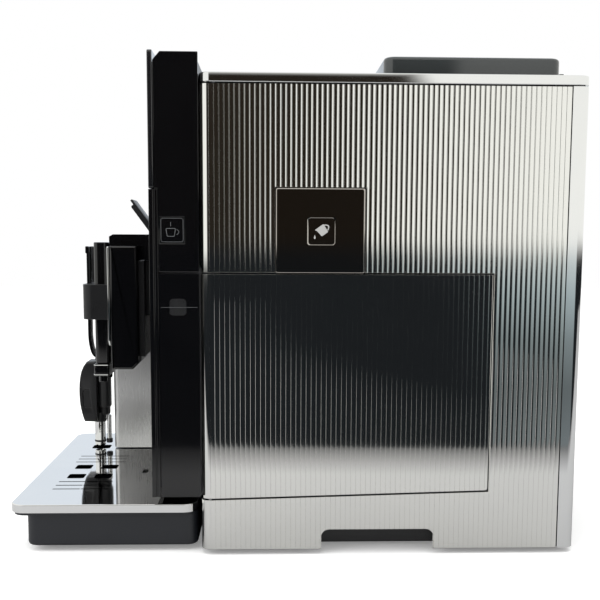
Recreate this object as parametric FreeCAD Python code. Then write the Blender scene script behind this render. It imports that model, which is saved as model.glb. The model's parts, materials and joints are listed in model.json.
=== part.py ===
"""Bean-to-cup espresso machine, in millimetres.

The frame: +Z up, the front faces -Y, +X is the right-hand side as a user stands in front of it.
The origin is on the surface that the machine stands on, under the middle of its bounding box.

The machine is a fluted steel casing on a black base pan. A black column stands at its front and
carries the display glass, a coffee spout that slides up and down, and a steel pillar with the
hot-water spout. A drip tray with a polished plate slides out under the column. The right-hand side
holds a water tank behind a door, with a filling flap above it. Two bean hoppers are on top.
"""
import FreeCAD, Part
import math
import os

V = FreeCAD.Vector
OUT = "parts"
os.makedirs(OUT, exist_ok=True)

# ---------------------------------------------------------------- driving dimensions
WIDTH = 290.0              # over the top frame
DEPTH = 468.0              # drip tray front to casing back
HEIGHT = 405.0             # to the top of the display glass
FOOT_H = 4.5               # rubber foot height below the base pan
BODY_DEPTH = 308.0         # fluted casing, front edge to back
COLUMN_DEPTH = 36.0        # black column, front to back, behind the front panel
TRAY_TOP = 41.4            # height of the drip plate
TOP_FRAME_H = 7.6          # polished band round the top
SKIN_INSET = 0.8           # the side skins stand this far inside the top frame
GAP = 0.8                  # visible joint between two neighbouring covers
CLEAR = 0.4                # clearance between a moving piece and what it passes
SKIN = 2.0                 # casing sheet, over the flutes
WALL = 2.5                 # moulded plastic wall

HALF_W = WIDTH / 2
Y_BACK = DEPTH / 2
Y_FRONT = -DEPTH / 2
Y_BODY = Y_BACK - BODY_DEPTH             # front edge of the fluted casing
SKIN_X = HALF_W - SKIN_INSET             # outer face of the side skins

# heights, from the ground up
Z_PAN = FOOT_H
Z_COLUMN = 49.0                          # underside of the black column
DOOR_Z_FRONT = 47.0                      # the tank door's lower edge rises to the back
DOOR_Z_REAR = 53.5
DOOR_Z_TOP = 231.5
DISPLAY_H = 107.0                        # height of the display glass
DISPLAY_Z = HEIGHT - DISPLAY_H           # joint between front panel and display glass
LID_RISE = 25.0                          # the hopper lids' tops above the skins' upper edge
Z_SKIN_TOP = HEIGHT - LID_RISE
Z_DECK = Z_SKIN_TOP + GAP + TOP_FRAME_H  # top of the frame and of the cup shelf
CHEEK_TOP = HEIGHT - 1.4

# flutes on the side skins
FLUTE_PITCH = 4.1
FLUTE_H = 0.7                            # crest above valley
CORNER_R = 6.0                           # rounded front edge of the skin

# rear corner trim
TRIM_Y = Y_BACK - 14.5
TRIM_W = 12.0
TRIM_R = 8.0

# power inlet, switch and screws in the rear panel
INLET_X, INLET_Z = -88.0, 62.0
INLET_W, INLET_H = 27.0, 20.0
SWITCH_X, SWITCH_W, SWITCH_H = -52.0, 19.0, 13.0
SCREW_R, SCREW_L, SCREW_INSET = 3.0, 7.5, 23.0
VENT_X, VENT_PITCH, VENTS = -90.0, 9.0, 21   # upright cooling slots
VENT_W, VENT_Z0, VENT_Z1 = 3.0, 250.0, 330.0

# the black column
ARM_X = SKIN_X - FLUTE_H - CORNER_R - CLEAR   # outer face of the frame's arms, inside the skins' edges
PANEL_T = 4.0                            # front panel and glass thickness
Y_GLASS = Y_BODY - GAP - COLUMN_DEPTH - PANEL_T - 0.7
Y_PANEL_BACK = Y_GLASS + PANEL_T
Y_RETURN = Y_GLASS + 7.0                 # the front panel's edges fold back to here
Y_COLUMN_BACK = Y_BODY - 2.0
COLUMN_X = HALF_W - 1.5
CHEEK_T = 3.5
HOUSING_TOP = HEIGHT - 8.3
BUTTON = (-106.7, -87.6, 255.8, 276.0)   # the push button on the right cheek: y0, y1, z0, z1
MARK = (-99.8, -86.4, 198.0, 211.3)      # the engraved mark on the right lower cover

# hand holds in both side skins
HOLD_Y0, HOLD_Y1 = 22.5, 116.0
HOLD_H = 16.5
HOLD_R = 7.0
HOLD_DEPTH = 19.0

# filling flap on the right-hand skin
FLAP_Y0, FLAP_Y1 = -15.0, 56.0
FLAP_Z0, FLAP_Z1 = 232.3, 299.3
FLAP_T = 1.6
ICON_SIDE = 21.0
CHUTE_MARGIN = 4.0
FLAP_OPEN = 33.0                         # degrees that the filling flap tips outward
CHEEK_STEPS = 6

# hood over the spout, and its flap
HOOD_W, HOOD_Y0, HOOD_TOP = 44.0, -163.0, 262.8
FLAP_W = 30.0
HOOD_FLAP_T, HOOD_FLAP_L = 4.8, 29.0
HOOD_FLAP_LEAN = 36.2                    # degrees from upright, forward
HINGE_Y = -125.5
HINGE_Z = HOOD_TOP + HOOD_FLAP_T / 2 + 0.5

# tank bay and water tank
RUNNER_H = 5.0
CHUTE_X0 = HALF_W - 53.0
DOOR_Y1 = 159.8
TANK_X0 = 60.0
TANK_Y0, TANK_Y1 = -60.0, 112.0
TANK_Z0, TANK_Z1 = 57.0, 221.0
TANK_WALL = 2.5

# drip tray
TRAY_W = WIDTH - 14.0
TRAY_R = 12.0
RIM_H = 7.0
TRAY_BACK = -79.5
BASIN_INSET = 4.0
BASIN_FRONT_INSET = 12.5
BASIN_WALL = 2.5
CUP_X = 30.4                             # the cups stand under the coffee spout, right of the middle
CUP_Y = -185.3
HOLE = 15.5                              # square drain holes
HOLE_DX, HOLE_DY = 17.0, 12.2            # half spacing of the four square holes
SLIT_W, SLIT_L = 2.2, 24.0
GROUNDS_X0, GROUNDS_X1 = -50.0, 50.0     # the used-grounds box, which the tray carries
GROUNDS_Z0, GROUNDS_Z1 = TRAY_TOP + 3.4, TRAY_TOP + 80.6
GROUNDS_Y1 = 26.0
SLIT_X0, SLIT_DX = 36.0, 12.0            # first slit from the cup line, then each next one
FLOAT_Y = -136.8
FLOAT_W, FLOAT_L = 5.0, 14.0

# steel pillar with the hot-water port
PILLAR_X0, PILLAR_X1 = -HALF_W + 13.0, -63.0
PILLAR_Y = -182.0
PILLAR_Z1 = 196.0
PILLAR_R = 5.5
PORT_TOP = 262.0
NOZZLE_X = -71.0
PLUG_Z, PLUG_R, DUCT_R = 232.0, 7.0, 3.0 # the hot-water spout's plug and the duct through it
POD_W, POD_TOP = 27.0, 134.0
TUBE_TOP = 69.0
WATER_Y, WATER_R = -197.5, 5.6           # the water tube
STEAM_Y, STEAM_R = -188.0, 2.4           # the slim tube behind it
RELEASE = (-212.0, -204.5, 86.0, 104.0)  # the release button in the pod's side: y0, y1, z0, z1

# coffee spout
SPOUT_X = CUP_X
SPOUT_TRAVEL = 60.0                      # the spout stands at its top and slides down this far
BODY_W, BODY_Y0, BODY_Y1 = 62.0, -161.5, -137.5
BODY_Z0, BODY_Z1 = 142.5, 252.5
COVER_W, COVER_Y0 = 40.0, -177.8
TRIM_GAP = 3.0                           # a bright strip stands in this gap behind the front cover
BAR_Y, BAR_T, BAR_W = -186.6, 2.6, 12.0
BAND = (187.0, 218.3)                    # lower and upper edge of the collar
OUTLET_DX, OUTLET_Y = 13.0, -172.0
BACK_PLATE_Z0 = 153.5
CARRIAGE_W = 34.0
CARRIAGE_Z0, CARRIAGE_Z1 = 190.0, 239.5

# lid hinges
PIN_R = 1.2
PIN_FIT = 0.05                           # radial clearance of a pin or shaft in its bore
EAR_HALF, EAR_R = 5.0, 1.9
POST_T, POST_HALF = 3.0, 1.6
HINGE_BACK = 2.8                         # a lid's hinge axis stands this far behind its back wall

# hoppers and lids
LID_X0, LID_X1 = 22.0, HALF_W - 15.0
LID_Y0, LID_Y1 = 71.5, 214.0
LID_R = 9.0
LID_T = 2.5
LID_EARS = (LID_X0 + 18.0, LID_X1 - 18.0)
LID_HINGE_Y = LID_Y1 + HINGE_BACK
LID_HINGE_Z = Z_DECK + CLEAR + 2.8
FRAME_W = 9.0                            # width of the polished top frame
FRAME_INNER_R = 5.0
FLANGE_DROP, FLANGE_T = 1.2, 3.0         # the hoppers' flanges lie this far under the deck
SHELF_Z = Z_SKIN_TOP - 84.0              # the shelf that carries hoppers and grinders
HOPPER_Z0 = SHELF_Z + 10.0
HOPPER_NECK = 35.0                       # the straight upper part of a hopper
PREGROUND_X = 18.0                       # half width of the ground-coffee chute's flange
SHELF_Y1 = 62.0                          # back edge of the cup shelf
SHELF_BARS, SHELF_BAR_PITCH = 8, 14.0    # raised bars that the cups stand on
GRINDER_R = 38.0
GRINDER_X = (LID_X0 + LID_X1) / 2
GRINDER_Y = TANK_Y1 + 8.0 + GRINDER_R     # clear of the tank bay's end wall
KNOB_X, KNOB_Y = GRINDER_X, 186.0
KNOB_R, KNOB_T, KNOB_DROP = 11.0, 5.0, 3.0
KNOB_SHAFT_R, KNOB_SHAFT_L = 3.0, 8.0


# inside
BURR_Z = SHELF_Z - 60.0                  # the grinders' motor plate
BURR_R, BURR_SHAFT_R, MOTOR_R = 24.0, 5.0, 24.0
BREW_X, BREW_Y = 0.0, 70.0
SCREW_X, SCREW_SHAFT_R = -34.0, 4.0
CHAMBER_R, CHAMBER_H = 22.0, 60.0
PISTON_Z = 172.0
GEAR_MODULE, GEAR_T = 1.0, 5.0
GEAR_TEETH, PINION_TEETH = 48, 16
PINION_SHAFT_R = 2.0
CHUTE_Y, CHUTE_R = 110.0, 12.5           # ground-coffee chute
FRAME_IN = 1.5                           # inner frame inside the skins
FRAME_T = 3.0
PAN_TOP = TRAY_TOP - 1.4                 # the base pan's rim, under the grounds box
DECK_Z = PAN_TOP + 1.0                   # floor of the inner frame
PUMP_X, HOSE_X = -HALF_W + 43.0, -HALF_W + 50.0
FOOT_R, FOOT_INSET = 11.0, 33.0
PAN_FLOOR = 3.0
POCKET_MARGIN = 4.0                      # the hand holds' pockets are this much larger than the slots


# ---------------------------------------------------------------- helpers
def box(x0, x1, y0, y1, z0, z1):
    return Part.makeBox(x1 - x0, y1 - y0, z1 - z0, V(x0, y0, z0))


def rod(x, y, z, r, length, axis="Z"):
    direction = {"X": V(1, 0, 0), "Y": V(0, 1, 0), "Z": V(0, 0, 1)}[axis]
    return Part.makeCylinder(r, length, V(x, y, z), direction)


def prism_yz(points, x0, x1):
    """A polygon in the YZ plane, carried from x0 to x1."""
    face = Part.Face(Part.makePolygon([V(x0, y, z) for y, z in points + points[:1]]))
    return face.extrude(V(x1 - x0, 0, 0))


def rounded(x0, x1, y0, y1, z0, z1, r, direction="Z"):
    """A box whose four edges along one direction are rounded."""
    solid = box(x0, x1, y0, y1, z0, z1)
    along = {"X": 0, "Y": 1, "Z": 2}[direction]
    edges = [e for e in solid.Edges if abs((e.Vertexes[0].Point - e.Vertexes[1].Point)[along]) > 1e-6]
    return solid.makeFillet(r, edges)


def round_edges_at(solid, r, test):
    """Fillets every edge whose middle point passes the test."""
    edges = [e for e in solid.Edges if test(e.CenterOfMass)]
    return solid.makeFillet(r, edges)


def frustum(low, high):
    """A solid between two level rectangles, each (x0, x1, y0, y1, z)."""
    def wire(x0, x1, y0, y1, z):
        corners = [V(x0, y0, z), V(x1, y0, z), V(x1, y1, z), V(x0, y1, z), V(x0, y0, z)]
        return Part.makePolygon(corners)
    return Part.makeLoft([wire(*low), wire(*high)], True, True)


def mirrored(shape):
    return shape.mirror(V(0, 0, 0), V(1, 0, 0))


def cut(shape, *tools):
    return shape.cut(list(tools))


def fuse(shape, *others):
    return shape.fuse(list(others)).removeSplitter()


def hinge_ears(lid, places, y, z, y_from):
    """Adds a lid's ears, bored for the hinge pin that runs along X at (y, z)."""
    for x in places:
        ear = box(x - EAR_HALF, x + EAR_HALF, y_from, y + EAR_R, z - EAR_R, z + EAR_R)
        lid = fuse(lid, ear)
        lid = cut(lid, rod(x - EAR_HALF - 1, y, z, PIN_R + PIN_FIT, 2 * EAR_HALF + 2, "X"))
    return lid


def hinge_posts(base, places, y, z, z_from):
    """Adds the pins that carry a lid's ears, each between two posts."""
    reach = EAR_HALF + 1.0
    for x in places:
        pin = rod(x - reach - POST_T, y, z, PIN_R, 2 * (reach + POST_T), "X")
        posts = [box(px, px + POST_T, y - POST_HALF, y + POST_HALF, z_from, z + POST_HALF)
                 for px in (x - reach - POST_T, x + reach)]
        base = fuse(base, pin, *posts)
    return base


def save(name, *shapes):
    solids = [s for shape in shapes for s in shape.Solids]
    whole = Part.makeCompound(solids) if len(solids) > 1 else solids[0]
    assert all(s.isValid() and s.Volume > 0 for s in solids), name
    whole.exportStep(f"{OUT}/{name}.step")
    print(f"{name}: {len(solids)} solid(s), {sum(s.Volume for s in solids) / 1000:.1f} cm3")


# ---------------------------------------------------------------- fluted side skins
def fluted_slab(y1, z0, z1, rounded_front=True):
    """The right-hand skin's section in plan, carried up: flutes are arcs between two valleys."""
    x_valley = SKIN_X - FLUTE_H
    x_inner = SKIN_X - SKIN
    y_first = Y_BODY + CORNER_R
    count = round((TRIM_Y - GAP - y_first) / FLUTE_PITCH)
    pitch = (TRIM_Y - GAP - y_first) / count
    edges = []
    corner = V(x_valley - CORNER_R, Y_BODY, z0)
    if rounded_front:
        middle = V(x_valley - CORNER_R * (1 - math.sin(math.pi / 4)),
                   y_first - CORNER_R * math.cos(math.pi / 4), z0)
        edges.append(Part.Arc(corner, middle, V(x_valley, y_first, z0)).toShape())
    y = y_first
    while y < y1 - 1e-6:
        crest = V(SKIN_X, y + pitch / 2, z0)
        edges.append(Part.Arc(V(x_valley, y, z0), crest, V(x_valley, y + pitch, z0)).toShape())
        y += pitch
    lower = V(corner.x, Y_BODY + SKIN, z0)
    inner_middle = V(x_inner - (CORNER_R - SKIN) * (1 - math.sin(math.pi / 4)) - FLUTE_H / 2,
                     y_first - (CORNER_R - SKIN) * math.cos(math.pi / 4), z0)
    edges.append(Part.LineSegment(V(x_valley, y, z0), V(x_inner, y, z0)).toShape())
    edges.append(Part.LineSegment(V(x_inner, y, z0), V(x_inner, y_first, z0)).toShape())
    edges.append(Part.Arc(V(x_inner, y_first, z0), inner_middle, lower).toShape())
    edges.append(Part.LineSegment(lower, corner).toShape())
    return Part.Face(Part.Wire(edges)).extrude(V(0, 0, z1 - z0))


def hand_hold_cutter(x0, x1):
    """A slot with round upper corners, open at the bottom."""
    z_top = Z_PAN + HOLD_H
    slot = box(x0, x1, HOLD_Y0, HOLD_Y1, Z_PAN - 5, z_top)
    return round_edges_at(slot, HOLD_R, lambda c: abs(c.z - z_top) < 1e-6
                          and min(abs(c.y - HOLD_Y0), abs(c.y - HOLD_Y1)) < 1e-6)


def door_outline(grow):
    """The tank door's outline in YZ, grown on every free side. Its lower edge rises to the back."""
    return [(Y_BODY - 5, DOOR_Z_FRONT - grow), (DOOR_Y1 + grow, DOOR_Z_REAR - grow),
            (DOOR_Y1 + grow, DOOR_Z_TOP + grow), (Y_BODY - 5, DOOR_Z_TOP + grow)]


def make_skins():
    slab = fluted_slab(TRIM_Y - GAP, Z_PAN, Z_SKIN_TOP)
    hold = hand_hold_cutter(SKIN_X - CORNER_R * 2, HALF_W + 5)
    door_hole = prism_yz(door_outline(GAP), SKIN_X - 20, HALF_W + 5)
    m = CHUTE_MARGIN
    window = rounded(SKIN_X - 20, HALF_W + 5, FLAP_Y0 + m, FLAP_Y1 - m, FLAP_Z0 + m, FLAP_Z1 - m, 0.9, "X")
    seat = box(HALF_W - FLAP_T - CLEAR, HALF_W + 5, FLAP_Y0 - CLEAR, FLAP_Y1 + CLEAR,
               FLAP_Z0 - 5, FLAP_Z1 + CLEAR)
    save("right_side_panel", cut(slab, hold, door_hole, window, seat))
    save("left_side_panel", mirrored(cut(slab, hold)))
    door = slab.common(prism_yz(door_outline(0), SKIN_X - 20, HALF_W + 5))
    save("tank_door", door)


def make_rear():
    x = SKIN_X - FLUTE_H / 2
    z_mid = (Z_PAN + Z_SKIN_TOP) / 2

    def corner_block(inset, radius, z0, z1):
        block = box(x - TRIM_W, x - inset, TRIM_Y, Y_BACK - inset, z0, z1)
        return round_edges_at(block, radius, lambda c: c.x > x - inset - 0.1
                              and c.y > Y_BACK - inset - 0.1 and abs(c.z - z_mid) < 1)
    trim = corner_block(0, TRIM_R, Z_PAN, Z_SKIN_TOP)
    core = corner_block(SKIN, TRIM_R - SKIN, Z_PAN - 10, Z_SKIN_TOP + 10)
    trim = cut(trim, core, box(x - TRIM_W - 1, x - SKIN, TRIM_Y - 1, TRIM_Y + 4, 0, HEIGHT))
    save("rear_trims", trim, mirrored(trim))
    x_edge = SKIN_X - TRIM_W - GAP / 2
    panel = box(-x_edge, x_edge, Y_BACK - SKIN, Y_BACK, Z_PAN, Z_SKIN_TOP)
    slots = [box(vx, vx + VENT_W, Y_BACK - SKIN - 1, Y_BACK + 1, VENT_Z0, VENT_Z1)
             for vx in [VENT_X + VENT_PITCH * i for i in range(VENTS)]]
    inlet = box(INLET_X - INLET_W / 2, INLET_X + INLET_W / 2, Y_BACK - SKIN - 1, Y_BACK + 1,
                INLET_Z - INLET_H / 2, INLET_Z + INLET_H / 2)
    rocker = box(SWITCH_X - SWITCH_W / 2, SWITCH_X + SWITCH_W / 2, Y_BACK - SKIN - 1, Y_BACK + 1,
                 INLET_Z - SWITCH_H / 2, INLET_Z + SWITCH_H / 2)
    holes = [rod(x, Y_BACK - SKIN - 1, z, SCREW_R, SKIN + 2, "Y") for x, z in screw_places()]
    save("rear_panel", cut(panel, inlet, rocker, *slots, *holes))


def screw_places():
    return [(sx * (HALF_W - SCREW_INSET), z) for sx in (-1, 1) for z in (20.0, 190.0, Z_SKIN_TOP - 14.0)]


def make_power():
    """A three-pin inlet and a rocker switch, both set in the rear panel."""
    y_in = Y_BACK - 22.0
    pin_y = Y_BACK - 8.0
    shell = box(INLET_X - INLET_W / 2 + 0.2, INLET_X + INLET_W / 2 - 0.2, y_in, Y_BACK,
                INLET_Z - INLET_H / 2 + 0.2, INLET_Z + INLET_H / 2 - 0.2)
    well = box(INLET_X - INLET_W / 2 + 2, INLET_X + INLET_W / 2 - 2, y_in + 3, Y_BACK + 1,
               INLET_Z - INLET_H / 2 + 2, INLET_Z + INLET_H / 2 - 2)
    pins = [box(INLET_X + dx - 1, INLET_X + dx + 1, y_in + 2, pin_y, INLET_Z + dz - 2, INLET_Z + dz + 2)
            for dx, dz in ((-7, -2), (7, -2), (0, 3))]
    save("power_inlet", fuse(cut(shell, well), *pins))
    w, h = SWITCH_W / 2 - CLEAR, SWITCH_H / 2 - CLEAR
    outline = [(Y_BACK - 7, INLET_Z - 1.5), (Y_BACK - 7, INLET_Z + 1.5), (Y_BACK - 1.2, INLET_Z + h),
               (Y_BACK - 2.0, INLET_Z), (Y_BACK - 0.1, INLET_Z - h), (Y_BACK - 3.0, INLET_Z - h)]
    save("power_switch", prism_yz(outline, SWITCH_X - w, SWITCH_X + w))
    screws = []
    for x, z in screw_places():
        shank = rod(x, Y_BACK - SCREW_L, z, SCREW_R - 0.1, SCREW_L - 0.4, "Y")
        socket = box(x - 1.0, x + 1.0, Y_BACK - 2.0, Y_BACK, z - 0.3, z + 0.3)
        screws.append(cut(shank, socket))
    save("rear_screws", *screws)


# ---------------------------------------------------------------- base, feet, frame
def make_base():
    x, y0, y1 = SKIN_X - SKIN - 1.2, Y_BODY + CORNER_R, Y_BACK - TRIM_R
    pan = box(-x, x, y0, y1, Z_PAN, PAN_TOP)
    pan = cut(pan, box(-x + WALL, x - WALL, y0 + WALL, y1 - WALL, Z_PAN + PAN_FLOOR, PAN_TOP + 1))
    pocket_x = HALF_W - HOLD_DEPTH
    ya, yb, z_top = HOLD_Y0 - POCKET_MARGIN, HOLD_Y1 + POCKET_MARGIN, Z_PAN + HOLD_H + 3
    pocket = box(pocket_x, x + 1, ya, yb, Z_PAN - 1, z_top)
    liner = box(pocket_x - WALL, x, ya - WALL, yb + WALL, Z_PAN, z_top + WALL)
    pan = fuse(pan, liner, mirrored(liner))
    pan = cut(pan, pocket, mirrored(pocket))
    save("base_pan", pan)
    feet = []
    for sx in (-1, 1):
        for y in (Y_BODY + 22.0, Y_BACK - 24.0):
            feet.append(Part.makeCone(FOOT_R - 1.5, FOOT_R, FOOT_H, V(sx * (HALF_W - FOOT_INSET), y, 0)))
    save("rubber_feet", *feet)


def make_frame():
    """The inner frame: floor, walls, the tank bay, a shelf for the grinders, arms into the column."""
    x1 = SKIN_X - SKIN - FRAME_IN
    x0 = x1 - FRAME_T
    t = FRAME_T
    z1 = Z_SKIN_TOP - 4
    y0, y1 = Y_BODY + CORNER_R + 0.5, Y_BACK - TRIM_R
    bay_x, bay_y = TANK_X0 - 8, TANK_Y1 + 4
    bay_top = DOOR_Z_TOP
    bay_floor = TANK_Z0 - RUNNER_H - CLEAR
    g = CLEAR + 2.0
    floor = box(-x1, x1, y0, y1, DECK_Z, DECK_Z + t)
    grounds_bay = box(GROUNDS_X0 - g, GROUNDS_X1 + g, y0 - 1, GROUNDS_Y1 + g, DECK_Z - 1, DECK_Z + t + 1)
    left = box(-x1, -x0, y0, y1, DECK_Z, z1)
    right_rear = box(x0, x1, bay_y, y1, DECK_Z, z1)
    right_top = box(x0, x1, y0, y1, FLAP_Z1 + 3, z1)
    shelf = box(-x1, x1, y0, y1, SHELF_Z, SHELF_Z + t)
    wells = [rod(s * GRINDER_X, GRINDER_Y, SHELF_Z - 1, GRINDER_R - 3, t + 2) for s in (-1, 1)]
    drop = rod(0, CHUTE_Y, SHELF_Z - 1, CHUTE_R + WALL + 1, t + 2)
    shelf = cut(shelf, *wells, drop)
    beam = box(-x1, x1, y1 - t, y1, 200, 240)
    divider = box(bay_x, bay_x + t, y0, bay_y + t, DECK_Z, SHELF_Z)
    bay_end = box(bay_x, x1, bay_y, bay_y + t, DECK_Z, bay_top)
    bay_base = box(bay_x, x1 - 0.5, y0, bay_y, bay_floor - t, bay_floor)
    front = box(-x1, x1, y0, y0 + t, DECK_Z, z1)
    doorway = box(GROUNDS_X0 - g, GROUNDS_X1 + g, y0 - 1, y0 + t + 1, DECK_Z - 1, GROUNDS_Z1 + g)
    duct = rod(NOZZLE_X, y0 - 1, PLUG_Z, 7.0, t + 2, "Y")
    bay_front = box(TANK_X0, x1 + 1, y0 + t, y0 + t + 1, bay_floor, bay_top)
    arms = [box(min(s * ARM_X, s * (ARM_X - t)), max(s * ARM_X, s * (ARM_X - t)), Y_RETURN + 1, y0 + t,
                Z_COLUMN + 0.5, DISPLAY_Z - 62) for s in (-1, 1)]
    chute_wall, chute_hollow = fill_chute()
    walls = [left, right_rear, right_top, front, *arms]
    bay = [divider, bay_end, bay_base]
    frame = fuse(chute_wall, floor, shelf, beam, *walls, *bay)
    save("chassis_frame", cut(frame, doorway, duct, bay_front, grounds_bay, chute_hollow))


# ---------------------------------------------------------------- top: frame, cup shelf, hoppers, lids
def make_top():
    z0, z1 = Z_SKIN_TOP + GAP, Z_DECK
    ring_w = FRAME_W
    ring = rounded(-HALF_W, HALF_W, Y_BODY, Y_BACK, z0, z1, 10.0)
    hole = rounded(-HALF_W + ring_w, HALF_W - ring_w, Y_BODY + ring_w, Y_BACK - ring_w,
                   z0 - 1, z1 + 1, FRAME_INNER_R)
    ring = cut(ring, hole)
    ring = round_edges_at(ring, 0.8, lambda c: abs(c.z - z1) < 1e-6
                          and (abs(c.x) > HALF_W - 4 or c.y < Y_BODY + 4 or c.y > Y_BACK - 4))
    save("top_frame", ring)
    x = HALF_W - ring_w - CLEAR
    y0 = Y_BODY + ring_w + CLEAR
    shelf = box(-x, x, y0, SHELF_Y1, z0 + 1, z1 - FLANGE_DROP)
    shelf = round_edges_at(shelf, FRAME_INNER_R, lambda c: c.y < y0 + 0.1 and abs(abs(c.x) - x) < 1e-6)
    bars = []
    for i in range(SHELF_BARS):
        y = Y_BODY + ring_w + 12.0 + i * SHELF_BAR_PITCH
        bars.append(rounded(-x + 14, x - 14, y, y + 4.0, z1 - 1.4, z1, 1.9))
    save("cup_shelf", fuse(shelf, *bars))



def hopper():
    """A right-hand bean hopper: a flange level with the deck and a funnel down to the grinder."""
    x1 = HALF_W - FRAME_W - CLEAR
    y1 = Y_BACK - FRAME_W - CLEAR
    z1 = Z_DECK - FLANGE_DROP
    flange = box(PREGROUND_X + CLEAR, x1, SHELF_Y1 + CLEAR, y1, z1 - FLANGE_T, z1)
    flange = round_edges_at(flange, FRAME_INNER_R, lambda c: c.y > y1 - 0.1 and c.x > x1 - 0.1)
    top = (LID_X0 + 6, LID_X1 - 6, LID_Y0 + 6, LID_Y1 - 6)
    r = GRINDER_R - 12
    bottom = (GRINDER_X - r, GRINDER_X + r, GRINDER_Y - r, GRINDER_Y + r)
    grow = lambda rect, w: (rect[0] - w, rect[1] + w, rect[2] - w, rect[3] + w)
    outer = frustum((*grow(bottom, WALL), HOPPER_Z0), (*grow(top, WALL), z1 - HOPPER_NECK))
    outer = fuse(outer, box(*grow(top, WALL), z1 - HOPPER_NECK, z1))
    inner = frustum((*bottom, HOPPER_Z0 - 0.01), (*top, z1 - HOPPER_NECK))
    inner = fuse(inner, box(*top, z1 - HOPPER_NECK, z1 + 1))
    z_post = z1 - KNOB_DROP - KNOB_T - CLEAR
    post = rod(KNOB_X, KNOB_Y, HOPPER_Z0 + 28, KNOB_R - 1, z_post - HOPPER_Z0 - 28)
    web = box(KNOB_X - 3, KNOB_X + 3, KNOB_Y, LID_Y1 - 5, HOPPER_Z0 + 40, z_post)
    bore = rod(KNOB_X, KNOB_Y, z_post - KNOB_SHAFT_L - 2, KNOB_SHAFT_R + PIN_FIT, KNOB_SHAFT_L + 3)
    bin_ = cut(fuse(cut(fuse(flange, outer), inner), web, post), bore)
    return hinge_posts(bin_, LID_EARS, LID_HINGE_Y, LID_HINGE_Z, z1 - 0.5)


def make_hoppers():
    right = hopper()
    save("hopper_right", right)
    save("hopper_left", mirrored(right))
    z1 = Z_DECK - FLANGE_DROP - KNOB_DROP
    knob = rod(KNOB_X, KNOB_Y, z1 - KNOB_T, KNOB_R, KNOB_T)
    grip = box(KNOB_X - KNOB_R + 1.5, KNOB_X + KNOB_R - 1.5, KNOB_Y - 1.5, KNOB_Y + 1.5, z1 - 1, z1 + 3.9)
    shaft = rod(KNOB_X, KNOB_Y, z1 - KNOB_T - KNOB_SHAFT_L, KNOB_SHAFT_R, KNOB_SHAFT_L + 1)
    knob = fuse(knob, grip, shaft)
    save("grind_knob_right", knob)
    save("grind_knob_left", mirrored(knob))
    z0 = Z_DECK + CLEAR
    lid = rounded(LID_X0, LID_X1, LID_Y0, LID_Y1, z0, HEIGHT, LID_R)
    lid = round_edges_at(lid, 2.5, lambda c: abs(c.z - HEIGHT) < 1e-6)
    t = LID_T
    hollow = rounded(LID_X0 + t, LID_X1 - t, LID_Y0 + t, LID_Y1 - t, z0 - 1, HEIGHT - t, LID_R - t)
    lid = hinge_ears(cut(lid, hollow), LID_EARS, LID_HINGE_Y, LID_HINGE_Z, LID_Y1 - t / 2)
    save("hopper_lid_right", lid)
    save("hopper_lid_left", mirrored(lid))


def make_preground():
    """The chute for ground coffee, between the two hoppers, and its lid."""
    z1 = Z_DECK - FLANGE_DROP
    x = PREGROUND_X
    y1 = Y_BACK - FRAME_W - CLEAR
    flange = box(-x, x, SHELF_Y1 + CLEAR, y1, z1 - FLANGE_T, z1)
    outer = rod(0, CHUTE_Y, SHELF_Z + 3.5, CHUTE_R + WALL, z1 - SHELF_Z - 3.5)
    bore = rod(0, CHUTE_Y, SHELF_Z, CHUTE_R, HEIGHT - SHELF_Z)
    y_pin, z_pin = CHUTE_Y + 25.0, z1 + CLEAR + 2.6
    ears = (-9.0, 9.0)
    chute = cut(fuse(flange, outer), bore)
    save("preground_chute", hinge_posts(chute, ears, y_pin, z_pin, z1 - 0.5))
    y0 = y_pin - HINGE_BACK
    lid = rounded(-x + 2, x - 2, y0 - 50.0, y0, z1 + CLEAR, z1 + CLEAR + 3.6, 4.0)
    tab = rod(-5, y0 - 50.0, z1 + CLEAR + 1.8, 1.6, 10, "X")
    save("preground_lid", hinge_ears(fuse(lid, tab), ears, y_pin, z_pin, y0 - 2))


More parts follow.
